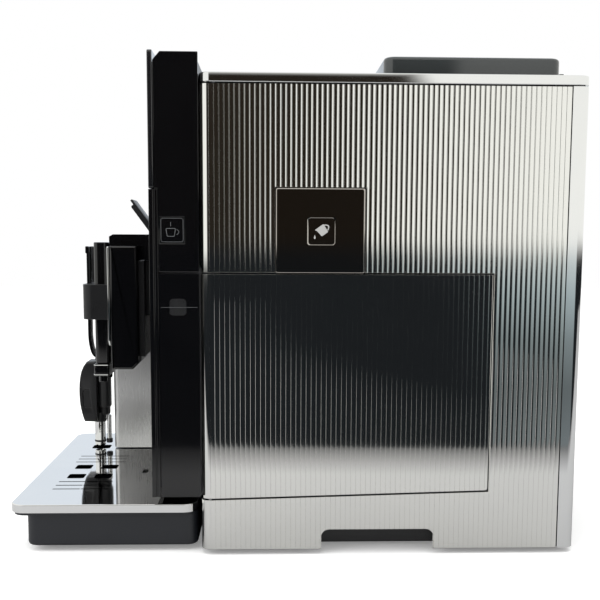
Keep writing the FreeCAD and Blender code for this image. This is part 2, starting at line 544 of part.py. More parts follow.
# ---------------------------------------------------------------- black front column
def make_column():
    x0, x1 = COLUMN_X - CHEEK_T, COLUMN_X
    seam = DOOR_Z_TOP + 1.2
    upper = [(Y_PANEL_BACK + 0.3, DISPLAY_Z + 0.5), (Y_PANEL_BACK + 0.3, CHEEK_TOP - 6.6),
             (Y_PANEL_BACK + 6.0, CHEEK_TOP), (Y_COLUMN_BACK, CHEEK_TOP), (Y_COLUMN_BACK, seam),
             (Y_RETURN + 0.4, seam), (Y_RETURN + 0.4, DISPLAY_Z + 0.5)]
    cheek = prism_yz(upper, x0, x1)
    y0, y1, z0, z1 = BUTTON
    seat = box(x0 - 8, x1 + 1, y0 - CLEAR, y1 + CLEAR, z0 - CLEAR, z1 + CLEAR)
    save("cheek_right", cut(cheek, seat))
    save("cheek_left", mirrored(cheek))
    lower = box(x0, x1, Y_RETURN + 0.4, Y_COLUMN_BACK, Z_COLUMN, DOOR_Z_TOP)
    mark = rounded(x1 - 0.4, x1 + 1, *MARK, 3.0, "X")
    save("lower_cover_right", cut(lower, mark))
    save("lower_cover_left", mirrored(lower))
    cap = box(x0 + 0.2, x1 - 0.4, y0, y1, z0, z1)
    save("side_button", round_edges_at(cap, 0.6, lambda c: c.x > x1 - 0.41))
    hx = x0 - CLEAR
    z_low = DISPLAY_Z - 60
    housing = box(-hx, hx, Y_PANEL_BACK + CLEAR, Y_COLUMN_BACK, z_low, HOUSING_TOP)
    inside = box(-hx + WALL, hx - WALL, Y_PANEL_BACK - 1, Y_COLUMN_BACK - WALL, z_low - 1, HOUSING_TOP - WALL)
    ribs = [box(s * (hx - 18) - 1.5, s * (hx - 18) + 1.5, Y_PANEL_BACK + CLEAR, Y_COLUMN_BACK - 1,
                DISPLAY_Z + 10, HOUSING_TOP - 1) for s in (-1, 0, 1)]
    save("display_housing", cut(fuse(cut(housing, inside), *ribs), seat))
    glass = rounded(-COLUMN_X, COLUMN_X, Y_GLASS, Y_PANEL_BACK, DISPLAY_Z + 0.5, HEIGHT, 2.0, "Y")
    save("display_glass", glass)



def make_front_panel():
    """The gloss panel under the display, with the slot that the spout's carriage runs in."""
    panel = box(-COLUMN_X, COLUMN_X, Y_GLASS, Y_PANEL_BACK, Z_COLUMN, DISPLAY_Z)
    returns = [box(min(s * COLUMN_X, s * (COLUMN_X - 3)), max(s * COLUMN_X, s * (COLUMN_X - 3)),
                   Y_PANEL_BACK, Y_RETURN, Z_COLUMN, DISPLAY_Z) for s in (-1, 1)]
    panel = fuse(panel, *returns)
    w = CARRIAGE_W / 2 + CLEAR
    slot = box(SPOUT_X - w, SPOUT_X + w, Y_GLASS - 1, Y_PANEL_BACK + 1,
               CARRIAGE_Z0 - SPOUT_TRAVEL - CLEAR, CARRIAGE_Z1 + CLEAR)
    groove = [box(s * COLUMN_X - 0.5, s * COLUMN_X + 0.5, Y_PANEL_BACK - 0.6, Y_PANEL_BACK + 0.6,
                  Z_COLUMN - 1, DISPLAY_Z + 1) for s in (-1, 1)]
    grounds = box(GROUNDS_X0 - CLEAR, GROUNDS_X1 + CLEAR, Y_GLASS - 1, Y_PANEL_BACK + 1,
                  Z_COLUMN - 1, GROUNDS_Z1 + CLEAR)
    port = rod(NOZZLE_X, Y_GLASS - 1, PLUG_Z, 7.0, PANEL_T + 2, "Y")
    save("front_panel", cut(panel, slot, grounds, port, *groove))



# ---------------------------------------------------------------- drip tray
def slot_cutter(x, y, length_x, length_y, narrow):
    """An upright cutter for a slot with round ends, centred on (x, y)."""
    half_x, half_y = length_x / 2, length_y / 2
    return rounded(x - half_x, x + half_x, y - half_y, y + half_y, 0, 60, narrow / 2 - 0.05)


def make_tray():
    w = TRAY_W / 2
    plate = rounded(-w, w, Y_FRONT, TRAY_BACK, TRAY_TOP - RIM_H, TRAY_TOP, TRAY_R)
    plate = round_edges_at(plate, 0.8, lambda c: abs(c.z - TRAY_TOP) < 1e-6)
    t = 1.5
    under = rounded(-w + t, w - t, Y_FRONT + t, TRAY_BACK - t, TRAY_TOP - RIM_H - 1, TRAY_TOP - t, TRAY_R - t)
    holes = []
    for sx in (-1, 1):
        for sy in (-1, 1):
            cx, cy = CUP_X + sx * HOLE_DX, CUP_Y + sy * HOLE_DY
            holes.append(rounded(cx - HOLE / 2, cx + HOLE / 2, cy - HOLE / 2, cy + HOLE / 2, 0, 60, 2.5))
            for i in range(3):
                sx_pos = CUP_X + sx * (SLIT_X0 + i * SLIT_DX)
                holes.append(slot_cutter(sx_pos, cy, SLIT_W, SLIT_L, SLIT_W))
    holes.append(rounded(NOZZLE_X - HOLE / 2 - 1, NOZZLE_X + HOLE / 2, -205.5, -187.0, 0, 60, 2.5))
    holes.append(slot_cutter(CUP_X, FLOAT_Y, FLOAT_L, FLOAT_W, FLOAT_W))
    save("drip_plate", cut(plate, under, *holes))
    bx, by0, by1 = w - BASIN_INSET, Y_FRONT + BASIN_FRONT_INSET, TRAY_BACK
    rim_z = TRAY_TOP - RIM_H
    basin = rounded(-bx, bx, by0, by1, Z_PAN + 0.5, rim_z, 9.0)
    basin = round_edges_at(basin, 3.0, lambda c: abs(c.z - Z_PAN - 0.5) < 1e-6)
    e = t + 0.3
    lip = rounded(-w + e, w - e, Y_FRONT + e, by1 - e, rim_z - 2.5, TRAY_TOP - t - 0.4, TRAY_R - t)
    b = BASIN_WALL
    hollow = rounded(-bx + b, bx - b, by0 + b, by1 - b, Z_PAN + 0.5 + b, TRAY_TOP + 1, 6.5)
    basin = cut(fuse(basin, lip), hollow)
    guide = cut(rod(CUP_X, FLOAT_Y, Z_PAN + 2, 5.0, 12.0), rod(CUP_X, FLOAT_Y, Z_PAN + 3, 3.2, 12.0))
    # a shelf behind the basin carries the grounds container
    x0, x1 = GROUNDS_X0 - 1.0, GROUNDS_X1 + 1.0
    riser_y = TRAY_BACK + CLEAR
    foot = box(x0, x1, TRAY_BACK - 0.5, riser_y + 2.4, Z_PAN + 12.0, rim_z - 1.5)
    riser = box(x0, x1, riser_y, riser_y + 2.4, Z_PAN + 12.0, GROUNDS_Z0)
    carrier = box(x0, x1, riser_y, GROUNDS_Y1 + 1.0, GROUNDS_Z0 - 2.4, GROUNDS_Z0)
    save("drip_basin", fuse(basin, guide, foot, riser, carrier))
    stem = rod(CUP_X, FLOAT_Y, Z_PAN + 3.5, 2.8, 8.0)
    disc = rod(CUP_X, FLOAT_Y, Z_PAN + 15.5, 11.0, 8.0)
    neck = rod(CUP_X, FLOAT_Y, Z_PAN + 11.5, 2.8, 4.0)
    flag = rounded(CUP_X - FLOAT_L / 2 + 0.6, CUP_X + FLOAT_L / 2 - 0.6, FLOAT_Y - FLOAT_W / 2 + 0.5,
                   FLOAT_Y + FLOAT_W / 2 - 0.5, Z_PAN + 23.0, TRAY_TOP - 2.2, 1.8)
    save("drip_float", fuse(stem, neck, disc, flag))


def make_grounds():
    """The used-grounds box rides on the tray and comes out with it through the front panel."""
    t = 2.5
    y0 = Y_GLASS + 0.3
    outer = box(GROUNDS_X0, GROUNDS_X1, y0, GROUNDS_Y1, GROUNDS_Z0, GROUNDS_Z1)
    inner = box(GROUNDS_X0 + t, GROUNDS_X1 - t, y0 + t, GROUNDS_Y1 - t, GROUNDS_Z0 + t, GROUNDS_Z1 + 1)
    save("grounds_container", cut(outer, inner))


# ---------------------------------------------------------------- steel pillar, port, hot-water spout
def make_pillar():
    z0 = TRAY_TOP + 1.0
    pillar = box(PILLAR_X0, PILLAR_X1, PILLAR_Y, Y_GLASS - 0.2, z0, PILLAR_Z1)
    pillar = round_edges_at(pillar, PILLAR_R, lambda c: c.y < PILLAR_Y + 0.1
                            and abs(c.z - (z0 + PILLAR_Z1) / 2) < 1)
    t = 1.5
    core = box(PILLAR_X0 + t, PILLAR_X1 - t, PILLAR_Y + t, Y_GLASS, z0 - 1, PILLAR_Z1 - t)
    core = round_edges_at(core, PILLAR_R - t, lambda c: c.y < PILLAR_Y + t + 0.1
                          and abs(c.z - (z0 + PILLAR_Z1 - 1 - t) / 2) < 1)
    save("steel_pillar", cut(pillar, core))
    port = box(PILLAR_X0, PILLAR_X1, PILLAR_Y, Y_GLASS - 0.2, PILLAR_Z1 + 0.5, PORT_TOP)
    port = round_edges_at(port, PILLAR_R, lambda c: c.y < PILLAR_Y + 0.1
                          and abs(c.z - (PILLAR_Z1 + 0.5 + PORT_TOP) / 2) < 1)
    port = round_edges_at(port, 1.5, lambda c: abs(c.z - PORT_TOP) < 1e-6 and c.y < Y_GLASS - 5)
    socket = rod(NOZZLE_X, PILLAR_Y - 1, PLUG_Z, PLUG_R + PIN_FIT, 21.0, "Y")
    duct = rod(NOZZLE_X, PILLAR_Y, PLUG_Z, DUCT_R, Y_GLASS - PILLAR_Y, "Y")
    save("port_housing", cut(port, socket, duct))



def make_hot_water():
    """The hot-water spout plugs into the port and hangs in front of the pillar."""
    x = NOZZLE_X
    y_face = PILLAR_Y - 0.5
    head = rounded(x - 11, x + 11, -205.0, y_face, 214.0, 251.0, 4.0)
    stem = rounded(x - 8, x + 8, -199.5, -185.5, 84.0, 220.0, 6.0)
    neck = rod(x, -192.6, 76.0, 6.0, 12.0)
    collar = rod(x, WATER_Y, TUBE_TOP, WATER_R + 1.2, 10.0)
    plug = rod(x, y_face - 1, PLUG_Z, PLUG_R, 19.0, "Y")
    body = fuse(head, stem, pod(x - POD_W / 2, x + POD_W / 2), neck, collar, plug)
    bore = rod(x, -186.0, PLUG_Z, DUCT_R, 30.0, "Y")
    y0, y1, z0, z1 = RELEASE
    face = x + POD_W / 2
    seat = box(face - 4.6, face + 1, y0 - CLEAR, y1 + CLEAR, z0 - CLEAR, z1 + CLEAR)
    save("hot_water_body", cut(body, seat, bore))
    save("release_button", box(face - 2.8, face - 0.3, y0, y1, z0, z1))
    length = TUBE_TOP - TRAY_TOP - 2.6
    water = cut(rod(x, WATER_Y, TRAY_TOP + 2.6, WATER_R, length - 0.1),
                rod(x, WATER_Y, TRAY_TOP, WATER_R - 1.2, 60.0))
    steam = rod(x, STEAM_Y, TRAY_TOP + 9.6, STEAM_R, 76.0 - TRAY_TOP - 9.7)
    tip = rod(x, STEAM_Y, TRAY_TOP + 4.6, 3.2, 5.0)
    save("water_tubes", water, fuse(steam, tip))


def pod(x0, x1):
    """The thumb pod: a straight back and a front that is one long arc."""
    y_front, y_back, z0, z1 = -216.0, -198.0, TUBE_TOP + 1.5, POD_TOP
    corners = [V(x0, y_front + 2.5, z0), V(x0, y_back, z0), V(x0, y_back, z1), V(x0, y_front + 8.0, z1)]
    bulge = V(x0, y_front, (z0 + z1) / 2)
    edges = [Part.LineSegment(a, b).toShape() for a, b in zip(corners, corners[1:])]
    edges.append(Part.Arc(corners[3], bulge, corners[0]).toShape())
    return Part.Face(Part.Wire(edges)).extrude(V(x1 - x0, 0, 0))



# ---------------------------------------------------------------- coffee spout
def make_spout():
    x = SPOUT_X
    w = BODY_W / 2
    outline = [(BODY_Y0, BODY_Z0), (BODY_Y1 - 5.0, BODY_Z0), (BODY_Y1, BODY_Z0 + 5.0),
               (BODY_Y1, BODY_Z1 - 1.0), (BODY_Y1 - 1.0, BODY_Z1), (BODY_Y0, BODY_Z1)]
    body = prism_yz(outline, x - w, x + w)
    body = round_edges_at(body, 3.0, lambda c: abs(abs(c.x - x) - w) < 1e-6 and c.y < BODY_Y0 + 0.1
                          and abs(c.z - (BODY_Z0 + BODY_Z1) / 2) < 1)
    inner = box(x - w + WALL, x + w - WALL, BODY_Y0 + WALL, BODY_Y1 - WALL, BODY_Z0 + 12, BODY_Z1 - WALL)
    save("spout_body", cut(body, inner))
    c = CARRIAGE_W / 2
    y0 = BODY_Y1 + 0.2
    arm = box(x - c, x + c, y0, Y_PANEL_BACK + 3.0, CARRIAGE_Z0, CARRIAGE_Z1)
    back_plate = box(x - c - 8, x + c + 8, y0, y0 + 5.4, BACK_PLATE_Z0, CARRIAGE_Z1)
    shoe = box(x - c - 8, x + c + 8, Y_PANEL_BACK + CLEAR, Y_PANEL_BACK + CLEAR + 4.0,
               CARRIAGE_Z0 + 6, CARRIAGE_Z1 - 6)
    save("spout_carriage", fuse(arm, back_plate, shoe))
    y_cover = BODY_Y0 - TRIM_GAP
    cover = rounded(x - COVER_W / 2, x + COVER_W / 2, COVER_Y0, y_cover, BODY_Z0 + 4, BODY_Z1 + 3.2, 4.0)
    save("spout_cover", cover)
    save("spout_bar", spout_bar())
    z0, z1 = BAND
    half = BODY_W / 2 - 4
    outer = rounded(x - half, x + half, BAR_Y - 0.9, y_cover, z0, z1, 9.0)
    back = box(x - half, x + half, y_cover - 9.5, y_cover, z0, z1)
    bar_hole = box(x - BAR_W / 2 - 0.2, x + BAR_W / 2 + 0.2, BAR_Y - 0.2, BAR_Y + BAR_T + 0.2, z0 - 1, z1 + 1)
    g = 0.2
    w = COVER_W / 2 + g
    cover_hole = rounded(x - w, x + w, COVER_Y0 - g, y_cover + 6, z0 - 1, z1 + 1, 4.0)
    save("spout_band", cut(fuse(outer, back), bar_hole, cover_hole))
    z1 = BODY_Z0 + 3.6
    block = rounded(x - 22, x + 22, COVER_Y0 - 1.0, BODY_Y0 - 3.5, z1 - 11.0, z1, 2.0)
    for s in (-1, 1):
        tip = rod(x + s * OUTLET_DX, OUTLET_Y, z1 - 17.0, 3.8, 10.0)
        block = fuse(block, tip)
    bores = [rod(x + s * OUTLET_DX, OUTLET_Y, z1 - 18.0, 2.6, 20.0) for s in (-1, 1)]
    save("nozzle_block", cut(block, *bores))


def spout_bar():
    """A flat bar in front of the spout's cover, hooked at the top and curved in at the foot."""
    x, t = SPOUT_X, BAR_T
    z0, z1, z2 = BODY_Z1 - 1.0, BODY_Z0 + 30.0, BODY_Z0 + 8.0
    reach = COVER_Y0 - t - BAR_Y
    bend = V(0, BAR_Y + reach * 0.27, (z1 + z2) / 2 - 2)
    edges = [Part.LineSegment(V(0, BAR_Y, z0), V(0, BAR_Y, z1)).toShape(),
             Part.Arc(V(0, BAR_Y, z1), bend, V(0, BAR_Y + reach, z2)).toShape(),
             Part.LineSegment(V(0, BAR_Y + reach, z2), V(0, BAR_Y + reach + t - 0.1, z2)).toShape(),
             Part.Arc(V(0, BAR_Y + reach + t - 0.1, z2), bend + V(0, t, 1.0), V(0, BAR_Y + t, z1)).toShape(),
             Part.LineSegment(V(0, BAR_Y + t, z1), V(0, BAR_Y + t, z0)).toShape(),
             Part.LineSegment(V(0, BAR_Y + t, z0), V(0, BAR_Y, z0)).toShape()]
    bar = Part.Face(Part.Wire(edges)).extrude(V(BAR_W, 0, 0))
    bar.translate(V(x - BAR_W / 2, 0, 0))
    hook = box(x - BAR_W / 2, x + BAR_W / 2, BAR_Y - 1.0, BAR_Y + t / 2, z0 - 6.0, z0 - 1.0)
    foot = box(x - BAR_W / 2, x + BAR_W / 2, BAR_Y + reach, COVER_Y0 - 0.05, z2 - 3.0, z2)
    return fuse(bar, hook, foot)


def make_hood():
    """The fixed hood over the spout, and its flap, which stands open."""
    x, w = SPOUT_X, HOOD_W / 2
    z_under = BODY_Z1 + CLEAR
    y_rear = BODY_Y1 + 5.0
    outline = [(HOOD_Y0, z_under), (HOOD_Y0, HOOD_TOP - 2.0), (HOOD_Y0 + 3.5, HOOD_TOP),
               (Y_GLASS - 0.2, HOOD_TOP), (Y_GLASS - 0.2, CARRIAGE_Z1 + CLEAR),
               (y_rear, CARRIAGE_Z1 + CLEAR), (y_rear, z_under)]
    hood = prism_yz(outline, x - w, x + w)
    half = FLAP_W / 2
    well = box(x - half + 4, x + half - 4, HOOD_Y0 + 14, HINGE_Y - 6.0, HOOD_TOP - 6.0, HOOD_TOP + 1)
    pin = rod(x - half - 4.0, HINGE_Y, HINGE_Z, PIN_R, FLAP_W + 8.0, "X")
    posts = [box(px, px + 3.0, HINGE_Y - POST_HALF, HINGE_Y + POST_HALF, HOOD_TOP - 2, HINGE_Z + POST_HALF)
             for px in (x - half - 4.0, x + half + 1.0)]
    hood = cut(hood, well)
    save("spout_hood", fuse(hood, pin, *posts))
    t = HOOD_FLAP_T / 2
    leaf = rounded(x - half, x + half, -t, t, 0, HOOD_FLAP_L, 1.6, "X")
    nib = box(x - half, x + half, t - 2.0, t, HOOD_FLAP_L - 2.0, HOOD_FLAP_L + 4.5)
    knuckle = rod(x - half, 0, 0, t, FLAP_W, "X")
    flap = fuse(leaf, nib, knuckle)
    flap = cut(flap, rod(x - half - 1, 0, 0, PIN_R + PIN_FIT, FLAP_W + 2, "X"))
    flap.rotate(V(0, 0, 0), V(1, 0, 0), HOOD_FLAP_LEAN)
    flap.translate(V(0, HINGE_Y, HINGE_Z))
    save("hood_flap", flap)


# ---------------------------------------------------------------- water tank, filling flap
def make_tank():
    """The tank, open at the top, on runners, with a valve at the back and pads that carry the door."""
    t = TANK_WALL
    x1 = SKIN_X - SKIN - 1.2
    outer = rounded(TANK_X0, x1, TANK_Y0, TANK_Y1, TANK_Z0, TANK_Z1, 8.0)
    inner = rounded(TANK_X0 + t, x1 - t, TANK_Y0 + t, TANK_Y1 - t, TANK_Z0 + t, TANK_Z1 + 1, 5.5)
    valve = rod(TANK_X0 + 16.0, TANK_Y1 - 24.0, TANK_Z0 - RUNNER_H + 1.0, 9.0, RUNNER_H)
    runners = [box(TANK_X0 + 10, x1 - 10, y - 3, y + 3, TANK_Z0 - RUNNER_H, TANK_Z0 + 1)
               for y in (TANK_Y0 + 14.0, TANK_Y1 - 44.0)]
    pads = [box(x1 - 0.5, SKIN_X - SKIN - 0.02, y - 10, y + 10, 130, 150)
            for y in (TANK_Y0 + 20.0, (TANK_Y0 + TANK_Y1) / 2, TANK_Y1 - 20.0)]
    save("water_tank", fuse(cut(outer, inner), valve, *runners, *pads))


def make_fill_flap():
    """The flap tips outward about its lower edge. Two cheeks behind it stop splashes."""
    x = HALF_W - FLAP_T
    flap = rounded(x, HALF_W, FLAP_Y0, FLAP_Y1, FLAP_Z0, FLAP_Z1, 1.2, "X")
    y_mid, z_mid = (FLAP_Y0 + FLAP_Y1) / 2 + 0.8, (FLAP_Z0 + FLAP_Z1) / 2 - 0.4
    half = ICON_SIDE / 2
    recess = box(HALF_W - 0.5, HALF_W + 1, y_mid - half, y_mid + half, z_mid - half, z_mid + half)
    recess = round_edges_at(recess, 2.0, lambda c: abs(abs(c.y - y_mid) - half) < 1e-6
                            and abs(abs(c.z - z_mid) - half) < 1e-6)
    m = CHUTE_MARGIN + 1.0
    z0 = FLAP_Z0 + m
    radius = FLAP_Z1 - FLAP_Z0 - m - 0.5
    rays = [math.radians(FLAP_OPEN * i / CHEEK_STEPS) for i in range(CHEEK_STEPS + 1)]
    arc = [V(x - radius * math.sin(a), 0, FLAP_Z0 + radius * math.cos(a)) for a in rays]
    points = [V(x, 0, z0)] + arc + [V(x - 3.0, 0, z0)]
    cheeks = []
    for y in (FLAP_Y0 + m, FLAP_Y1 - m - 1.6):
        cheek = Part.Face(Part.makePolygon(points + points[:1])).extrude(V(0, 1.6, 0))
        cheek.translate(V(0, y, 0))
        cheeks.append(cheek)
    save("fill_flap", fuse(cut(flap, recess), *cheeks))


def fill_chute():
    """The chute behind the filling flap leads the water down into the tank: its wall and its hollow."""
    inset = CHUTE_MARGIN - 1.0
    y0, y1 = FLAP_Y0 + inset, FLAP_Y1 - inset
    x1 = SKIN_X - SKIN - FRAME_IN
    z_low, z_top = DOOR_Z_TOP - 6.0, FLAP_Z1 + 1.0
    outer = box(CHUTE_X0, x1, y0 - WALL, y1 + WALL, z_low, z_top)
    bridge = box(TANK_X0 - 6, CHUTE_X0 + 1, y0 - WALL, y1 + WALL, z_top - WALL, z_top)
    return fuse(outer, bridge), box(CHUTE_X0 + WALL, x1 + 1, y0, y1, z_low - 1, z_top - WALL)


# ---------------------------------------------------------------- inside: grinders, brew group, pump
def make_grinders():
    bodies, burrs = [], []
    z0 = BURR_Z
    z_case = SHELF_Z - CLEAR
    for s in (1, -1):
        x = s * GRINDER_X
        case = rod(x, GRINDER_Y, z0, GRINDER_R, z_case - z0)
        collar = rod(x, GRINDER_Y, z_case - 1, GRINDER_R - 5, HOPPER_Z0 - CLEAR - z_case + 1)
        motor = rod(x, GRINDER_Y, z0 - 62, MOTOR_R, 63.0)
        hollow = rod(x, GRINDER_Y, z0 + 12, 27.0, 40.0)
        throat = rod(x, GRINDER_Y, z0 + 50, 20.0, 60.0)
        hole = rod(x, GRINDER_Y, z0 - 10, BURR_SHAFT_R + PIN_FIT, 30)
        bodies.append(cut(fuse(case, collar, motor), hollow, throat, hole))
        cone = Part.makeCone(BURR_R, 10.0, 30.0, V(x, GRINDER_Y, z0 + 14))
        shaft = rod(x, GRINDER_Y, z0 - 8, BURR_SHAFT_R, 24)
        grooves = [box(x - 1.2, x + 1.2, GRINDER_Y, GRINDER_Y + 40, z0 + 13, z0 + 46)
                   .rotate(V(x, GRINDER_Y, 0), V(0, 0, 1), a) for a in range(0, 360, 45)]
        core = Part.makeCone(BURR_R - 3.5, 6.5, 30.2, V(x, GRINDER_Y, z0 + 13.9))
        burrs.append(fuse(cone, shaft).cut(Part.makeCompound(grooves).cut(core)))
    save("grinders", *bodies)
    save("burr_right", burrs[0])
    save("burr_left", burrs[1])


def make_brew_group():
    """The brew group: its motor turns a lead screw, which lifts the coffee chamber onto the piston."""
    x0, x1, y0, y1 = BREW_X - 48.0, BREW_X + 42.0, BREW_Y - 32.0, BREW_Y + 32.0
    z0, z1 = DECK_Z + FRAME_T, 226.0
    foot = box(x0, x1, y0, y1, z0, z0 + 8)
    roof = box(x0, x1, y0, y1, z1 - 8, z1)
    back = box(x0, x1, y1 - 5, y1, z0, z1)
    piston = rod(BREW_X, BREW_Y, PISTON_Z, CHAMBER_R - 0.6, z1 - PISTON_Z - 1)
    fit = SCREW_SHAFT_R + PIN_FIT
    bearings = [rod(SCREW_X, BREW_Y, z0 - 1, fit, 10), rod(SCREW_X, BREW_Y, z1 - 9, fit, 10)]
    save("brew_frame", cut(fuse(foot, roof, back, piston), *bearings))
    thread = rod(SCREW_X, BREW_Y, z0 + 8.5, SCREW_SHAFT_R + 2, z1 - z0 - 17)
    screw = fuse(rod(SCREW_X, BREW_Y, z0 + 0.5, SCREW_SHAFT_R, z1 - z0), thread)
    gear_z = z1 + 0.5
    save("drive_screw", fuse(screw, gear(SCREW_X, BREW_Y, gear_z, GEAR_TEETH, 0)))
    cz0 = z0 + 20.0
    chamber = rod(BREW_X, BREW_Y, cz0, CHAMBER_R + 4, CHAMBER_H)
    nut = box(SCREW_X - 10, BREW_X - 10, BREW_Y - 10, BREW_Y + 10, cz0 + 8, cz0 + 38)
    bore = rod(BREW_X, BREW_Y, cz0 + 12, CHAMBER_R, CHAMBER_H)
    screw_hole = rod(SCREW_X, BREW_Y, cz0, SCREW_SHAFT_R + 2.4, 80.0)
    save("brew_chamber", cut(fuse(chamber, nut), bore, screw_hole))
    mx = SCREW_X - GEAR_MODULE * (GEAR_TEETH + PINION_TEETH) / 2
    pinion = gear(mx, BREW_Y, gear_z, PINION_TEETH, 180.0 / PINION_TEETH)
    shaft = rod(mx, BREW_Y, gear_z - 12, PINION_SHAFT_R, 13)
    save("motor_pinion", fuse(pinion, shaft))
    can = rod(mx, BREW_Y, gear_z - 50, 15.0, 49.0)
    bracket = box(mx - 15, x0, BREW_Y - 15, BREW_Y + 15, gear_z - 6, gear_z - 2)
    bore = rod(mx, BREW_Y, gear_z - 14, PINION_SHAFT_R + PIN_FIT, 20)
    save("brew_motor", cut(fuse(can, bracket), bore))


def gear(x, y, z, teeth, turn):
    """A spur gear whose teeth are trapezia: tip and root lie about the pitch circle."""
    m = GEAR_MODULE
    pitch_r = m * teeth / 2
    tip_r, root_r = pitch_r + 0.8 * m, pitch_r - 1.1 * m
    points = []
    step = 360.0 / teeth
    for i in range(teeth):
        for share, r in ((-0.30, root_r), (-0.11, tip_r), (0.11, tip_r), (0.30, root_r)):
            a = math.radians(turn + (i + share) * step)
            points.append(V(x + r * math.cos(a), y + r * math.sin(a), z))
    return Part.Face(Part.makePolygon(points + points[:1])).extrude(V(0, 0, GEAR_T))


def make_services():
    floor = DECK_Z + FRAME_T
    pump = fuse(rod(PUMP_X, 150, floor + 26, 18.0, 46.0, "Y"), rod(PUMP_X, 134, floor + 26, 7.0, 20.0, "Y"),
                box(PUMP_X - 18, PUMP_X + 18, 158, 184, floor, floor + 26))
    save("pump", pump)
    block = rounded(-128, -62, 40, 124, 60, 100, 6.0)
    fins = [box(-124, -66, 46 + 9 * i, 49 + 9 * i, 98, 108) for i in range(8)]
    stands = [box(-122, -110, y, y + 10, floor, 62) for y in (50, 104)]
    save("thermoblock", fuse(block, *fins, *stands))
    wall = SKIN_X - SKIN - FRAME_IN - FRAME_T
    board = box(-wall + 4, -wall + 5.6, 20, 200, 130, 280)
    posts = [rod(-wall, y, z, 3.0, 4.5, "X") for y in (28, 192) for z in (138, 272)]
    chips = [box(-wall + 5.4, -wall + 16, 40 + 45 * i, 62 + 45 * i, 150, 175) for i in range(3)]
    caps = [rod(-wall + 5.5, 40 + 30 * i, 240, 9.0, 16.0, "X") for i in range(3)]
    save("control_board", fuse(board, *posts, *chips, *caps))
    y_port = Y_PANEL_BACK + 0.5
    water = hose([(HOSE_X, 82.2, 108.2), (HOSE_X, 82.2, 150), (HOSE_X, -20, 150), (HOSE_X, -20, PLUG_Z),
                  (NOZZLE_X, -52, PLUG_Z), (NOZZLE_X, y_port, PLUG_Z)])
    save("hoses", water)


def hose(points, radius=3.0):
    """A hose of straight runs joined by tangent arcs."""
    bend = 14.0
    edges = []
    last = V(*points[0])
    for a, b, c in zip(points, points[1:], points[2:]):
        a, b, c = V(*a), V(*b), V(*c)
        u, w = (a - b).normalize(), (c - b).normalize()
        half = u.getAngle(w) / 2
        reach = bend / math.tan(half)
        start, end = b + u * reach, b + w * reach
        centre_way = (u + w).normalize()
        middle = b + centre_way * (bend / math.sin(half) - bend)
        edges.append(Part.LineSegment(last, start).toShape())
        edges.append(Part.Arc(start, middle, end).toShape())
        last = end
    edges.append(Part.LineSegment(last, V(*points[-1])).toShape())
    wire = Part.Wire(edges)
    first = V(*points[1]) - V(*points[0])
    circle = Part.Wire(Part.makeCircle(radius, V(*points[0]), first))
    return wire.makePipeShell([circle], True, True)


def main():
    make_skins()
    make_rear()
    make_power()
    make_base()
    make_frame()
    make_top()
    make_hoppers()
    make_preground()
    make_column()
    make_front_panel()
    make_tray()
    make_grounds()
    make_pillar()
    make_hot_water()
    make_spout()
    make_hood()
    make_tank()
    make_fill_flap()
    make_grinders()
    make_brew_group()
    make_services()


main()
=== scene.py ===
# %% [markdown]
# # A bean-to-cup espresso machine, dressed round its CAD frame
# The CAD model says where every part is and how big it is. This lesson keeps that frame fixed and gives
# the machine its looks: new surfaces where a part has a shape that shows, and a finish on everything else.
# Sizes in this file are in millimetres, as a maker would read them off a drawing, and become metres once,
# when a mesh is made.

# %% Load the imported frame
import json
import math
import bmesh
import bpy
import numpy as np
from mathutils import Matrix, Vector

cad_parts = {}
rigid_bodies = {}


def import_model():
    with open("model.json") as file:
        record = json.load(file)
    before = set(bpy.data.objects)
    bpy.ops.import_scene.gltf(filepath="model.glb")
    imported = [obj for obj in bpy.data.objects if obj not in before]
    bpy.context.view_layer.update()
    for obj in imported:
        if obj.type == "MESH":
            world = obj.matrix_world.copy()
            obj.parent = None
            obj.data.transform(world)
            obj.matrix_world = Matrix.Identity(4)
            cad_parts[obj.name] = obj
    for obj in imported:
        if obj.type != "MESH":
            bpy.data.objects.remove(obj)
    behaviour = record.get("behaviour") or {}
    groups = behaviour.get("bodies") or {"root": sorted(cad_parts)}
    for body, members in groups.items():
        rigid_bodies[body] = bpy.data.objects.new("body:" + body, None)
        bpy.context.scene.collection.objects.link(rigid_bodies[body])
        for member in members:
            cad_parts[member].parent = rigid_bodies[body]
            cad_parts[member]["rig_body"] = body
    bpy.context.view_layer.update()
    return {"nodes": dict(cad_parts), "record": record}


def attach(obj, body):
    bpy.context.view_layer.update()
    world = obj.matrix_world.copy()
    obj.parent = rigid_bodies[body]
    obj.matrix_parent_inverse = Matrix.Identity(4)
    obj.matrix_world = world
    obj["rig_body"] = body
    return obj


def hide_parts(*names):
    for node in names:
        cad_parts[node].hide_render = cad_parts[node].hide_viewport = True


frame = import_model()
scene = bpy.context.scene

# %% [markdown]
# ## Four ways to make a surface
# Nearly every part of the machine is one of four shapes: an outline given a thickness, a small section
# carried round an outline, a section carried from one outline to another, or a turned part. Each is a
# function of two parameters on a grid, so numpy works out all its points at once. The helper below puts such
# a grid into the scene. It also checks the volume: a closed surface with faces that look inward has a
# negative one, and is turned round.

# %% Grids and meshes
MM = 0.001
TINY = 1e-6
FINISHES = {}


def quads_of(rows, cols, close_rows=False, close_cols=True):
    """Corner numbers of a grid's faces: each cell joins row r to r + 1 and column c to c + 1."""
    r = np.arange(rows if close_rows else rows - 1)[:, None]
    c = np.arange(cols if close_cols else cols - 1)[None, :]
    r2, c2 = (r + 1) % rows, (c + 1) % cols
    return np.stack([r * cols + c, r * cols + c2, r2 * cols + c2, r2 * cols + c], -1).reshape(-1, 4)


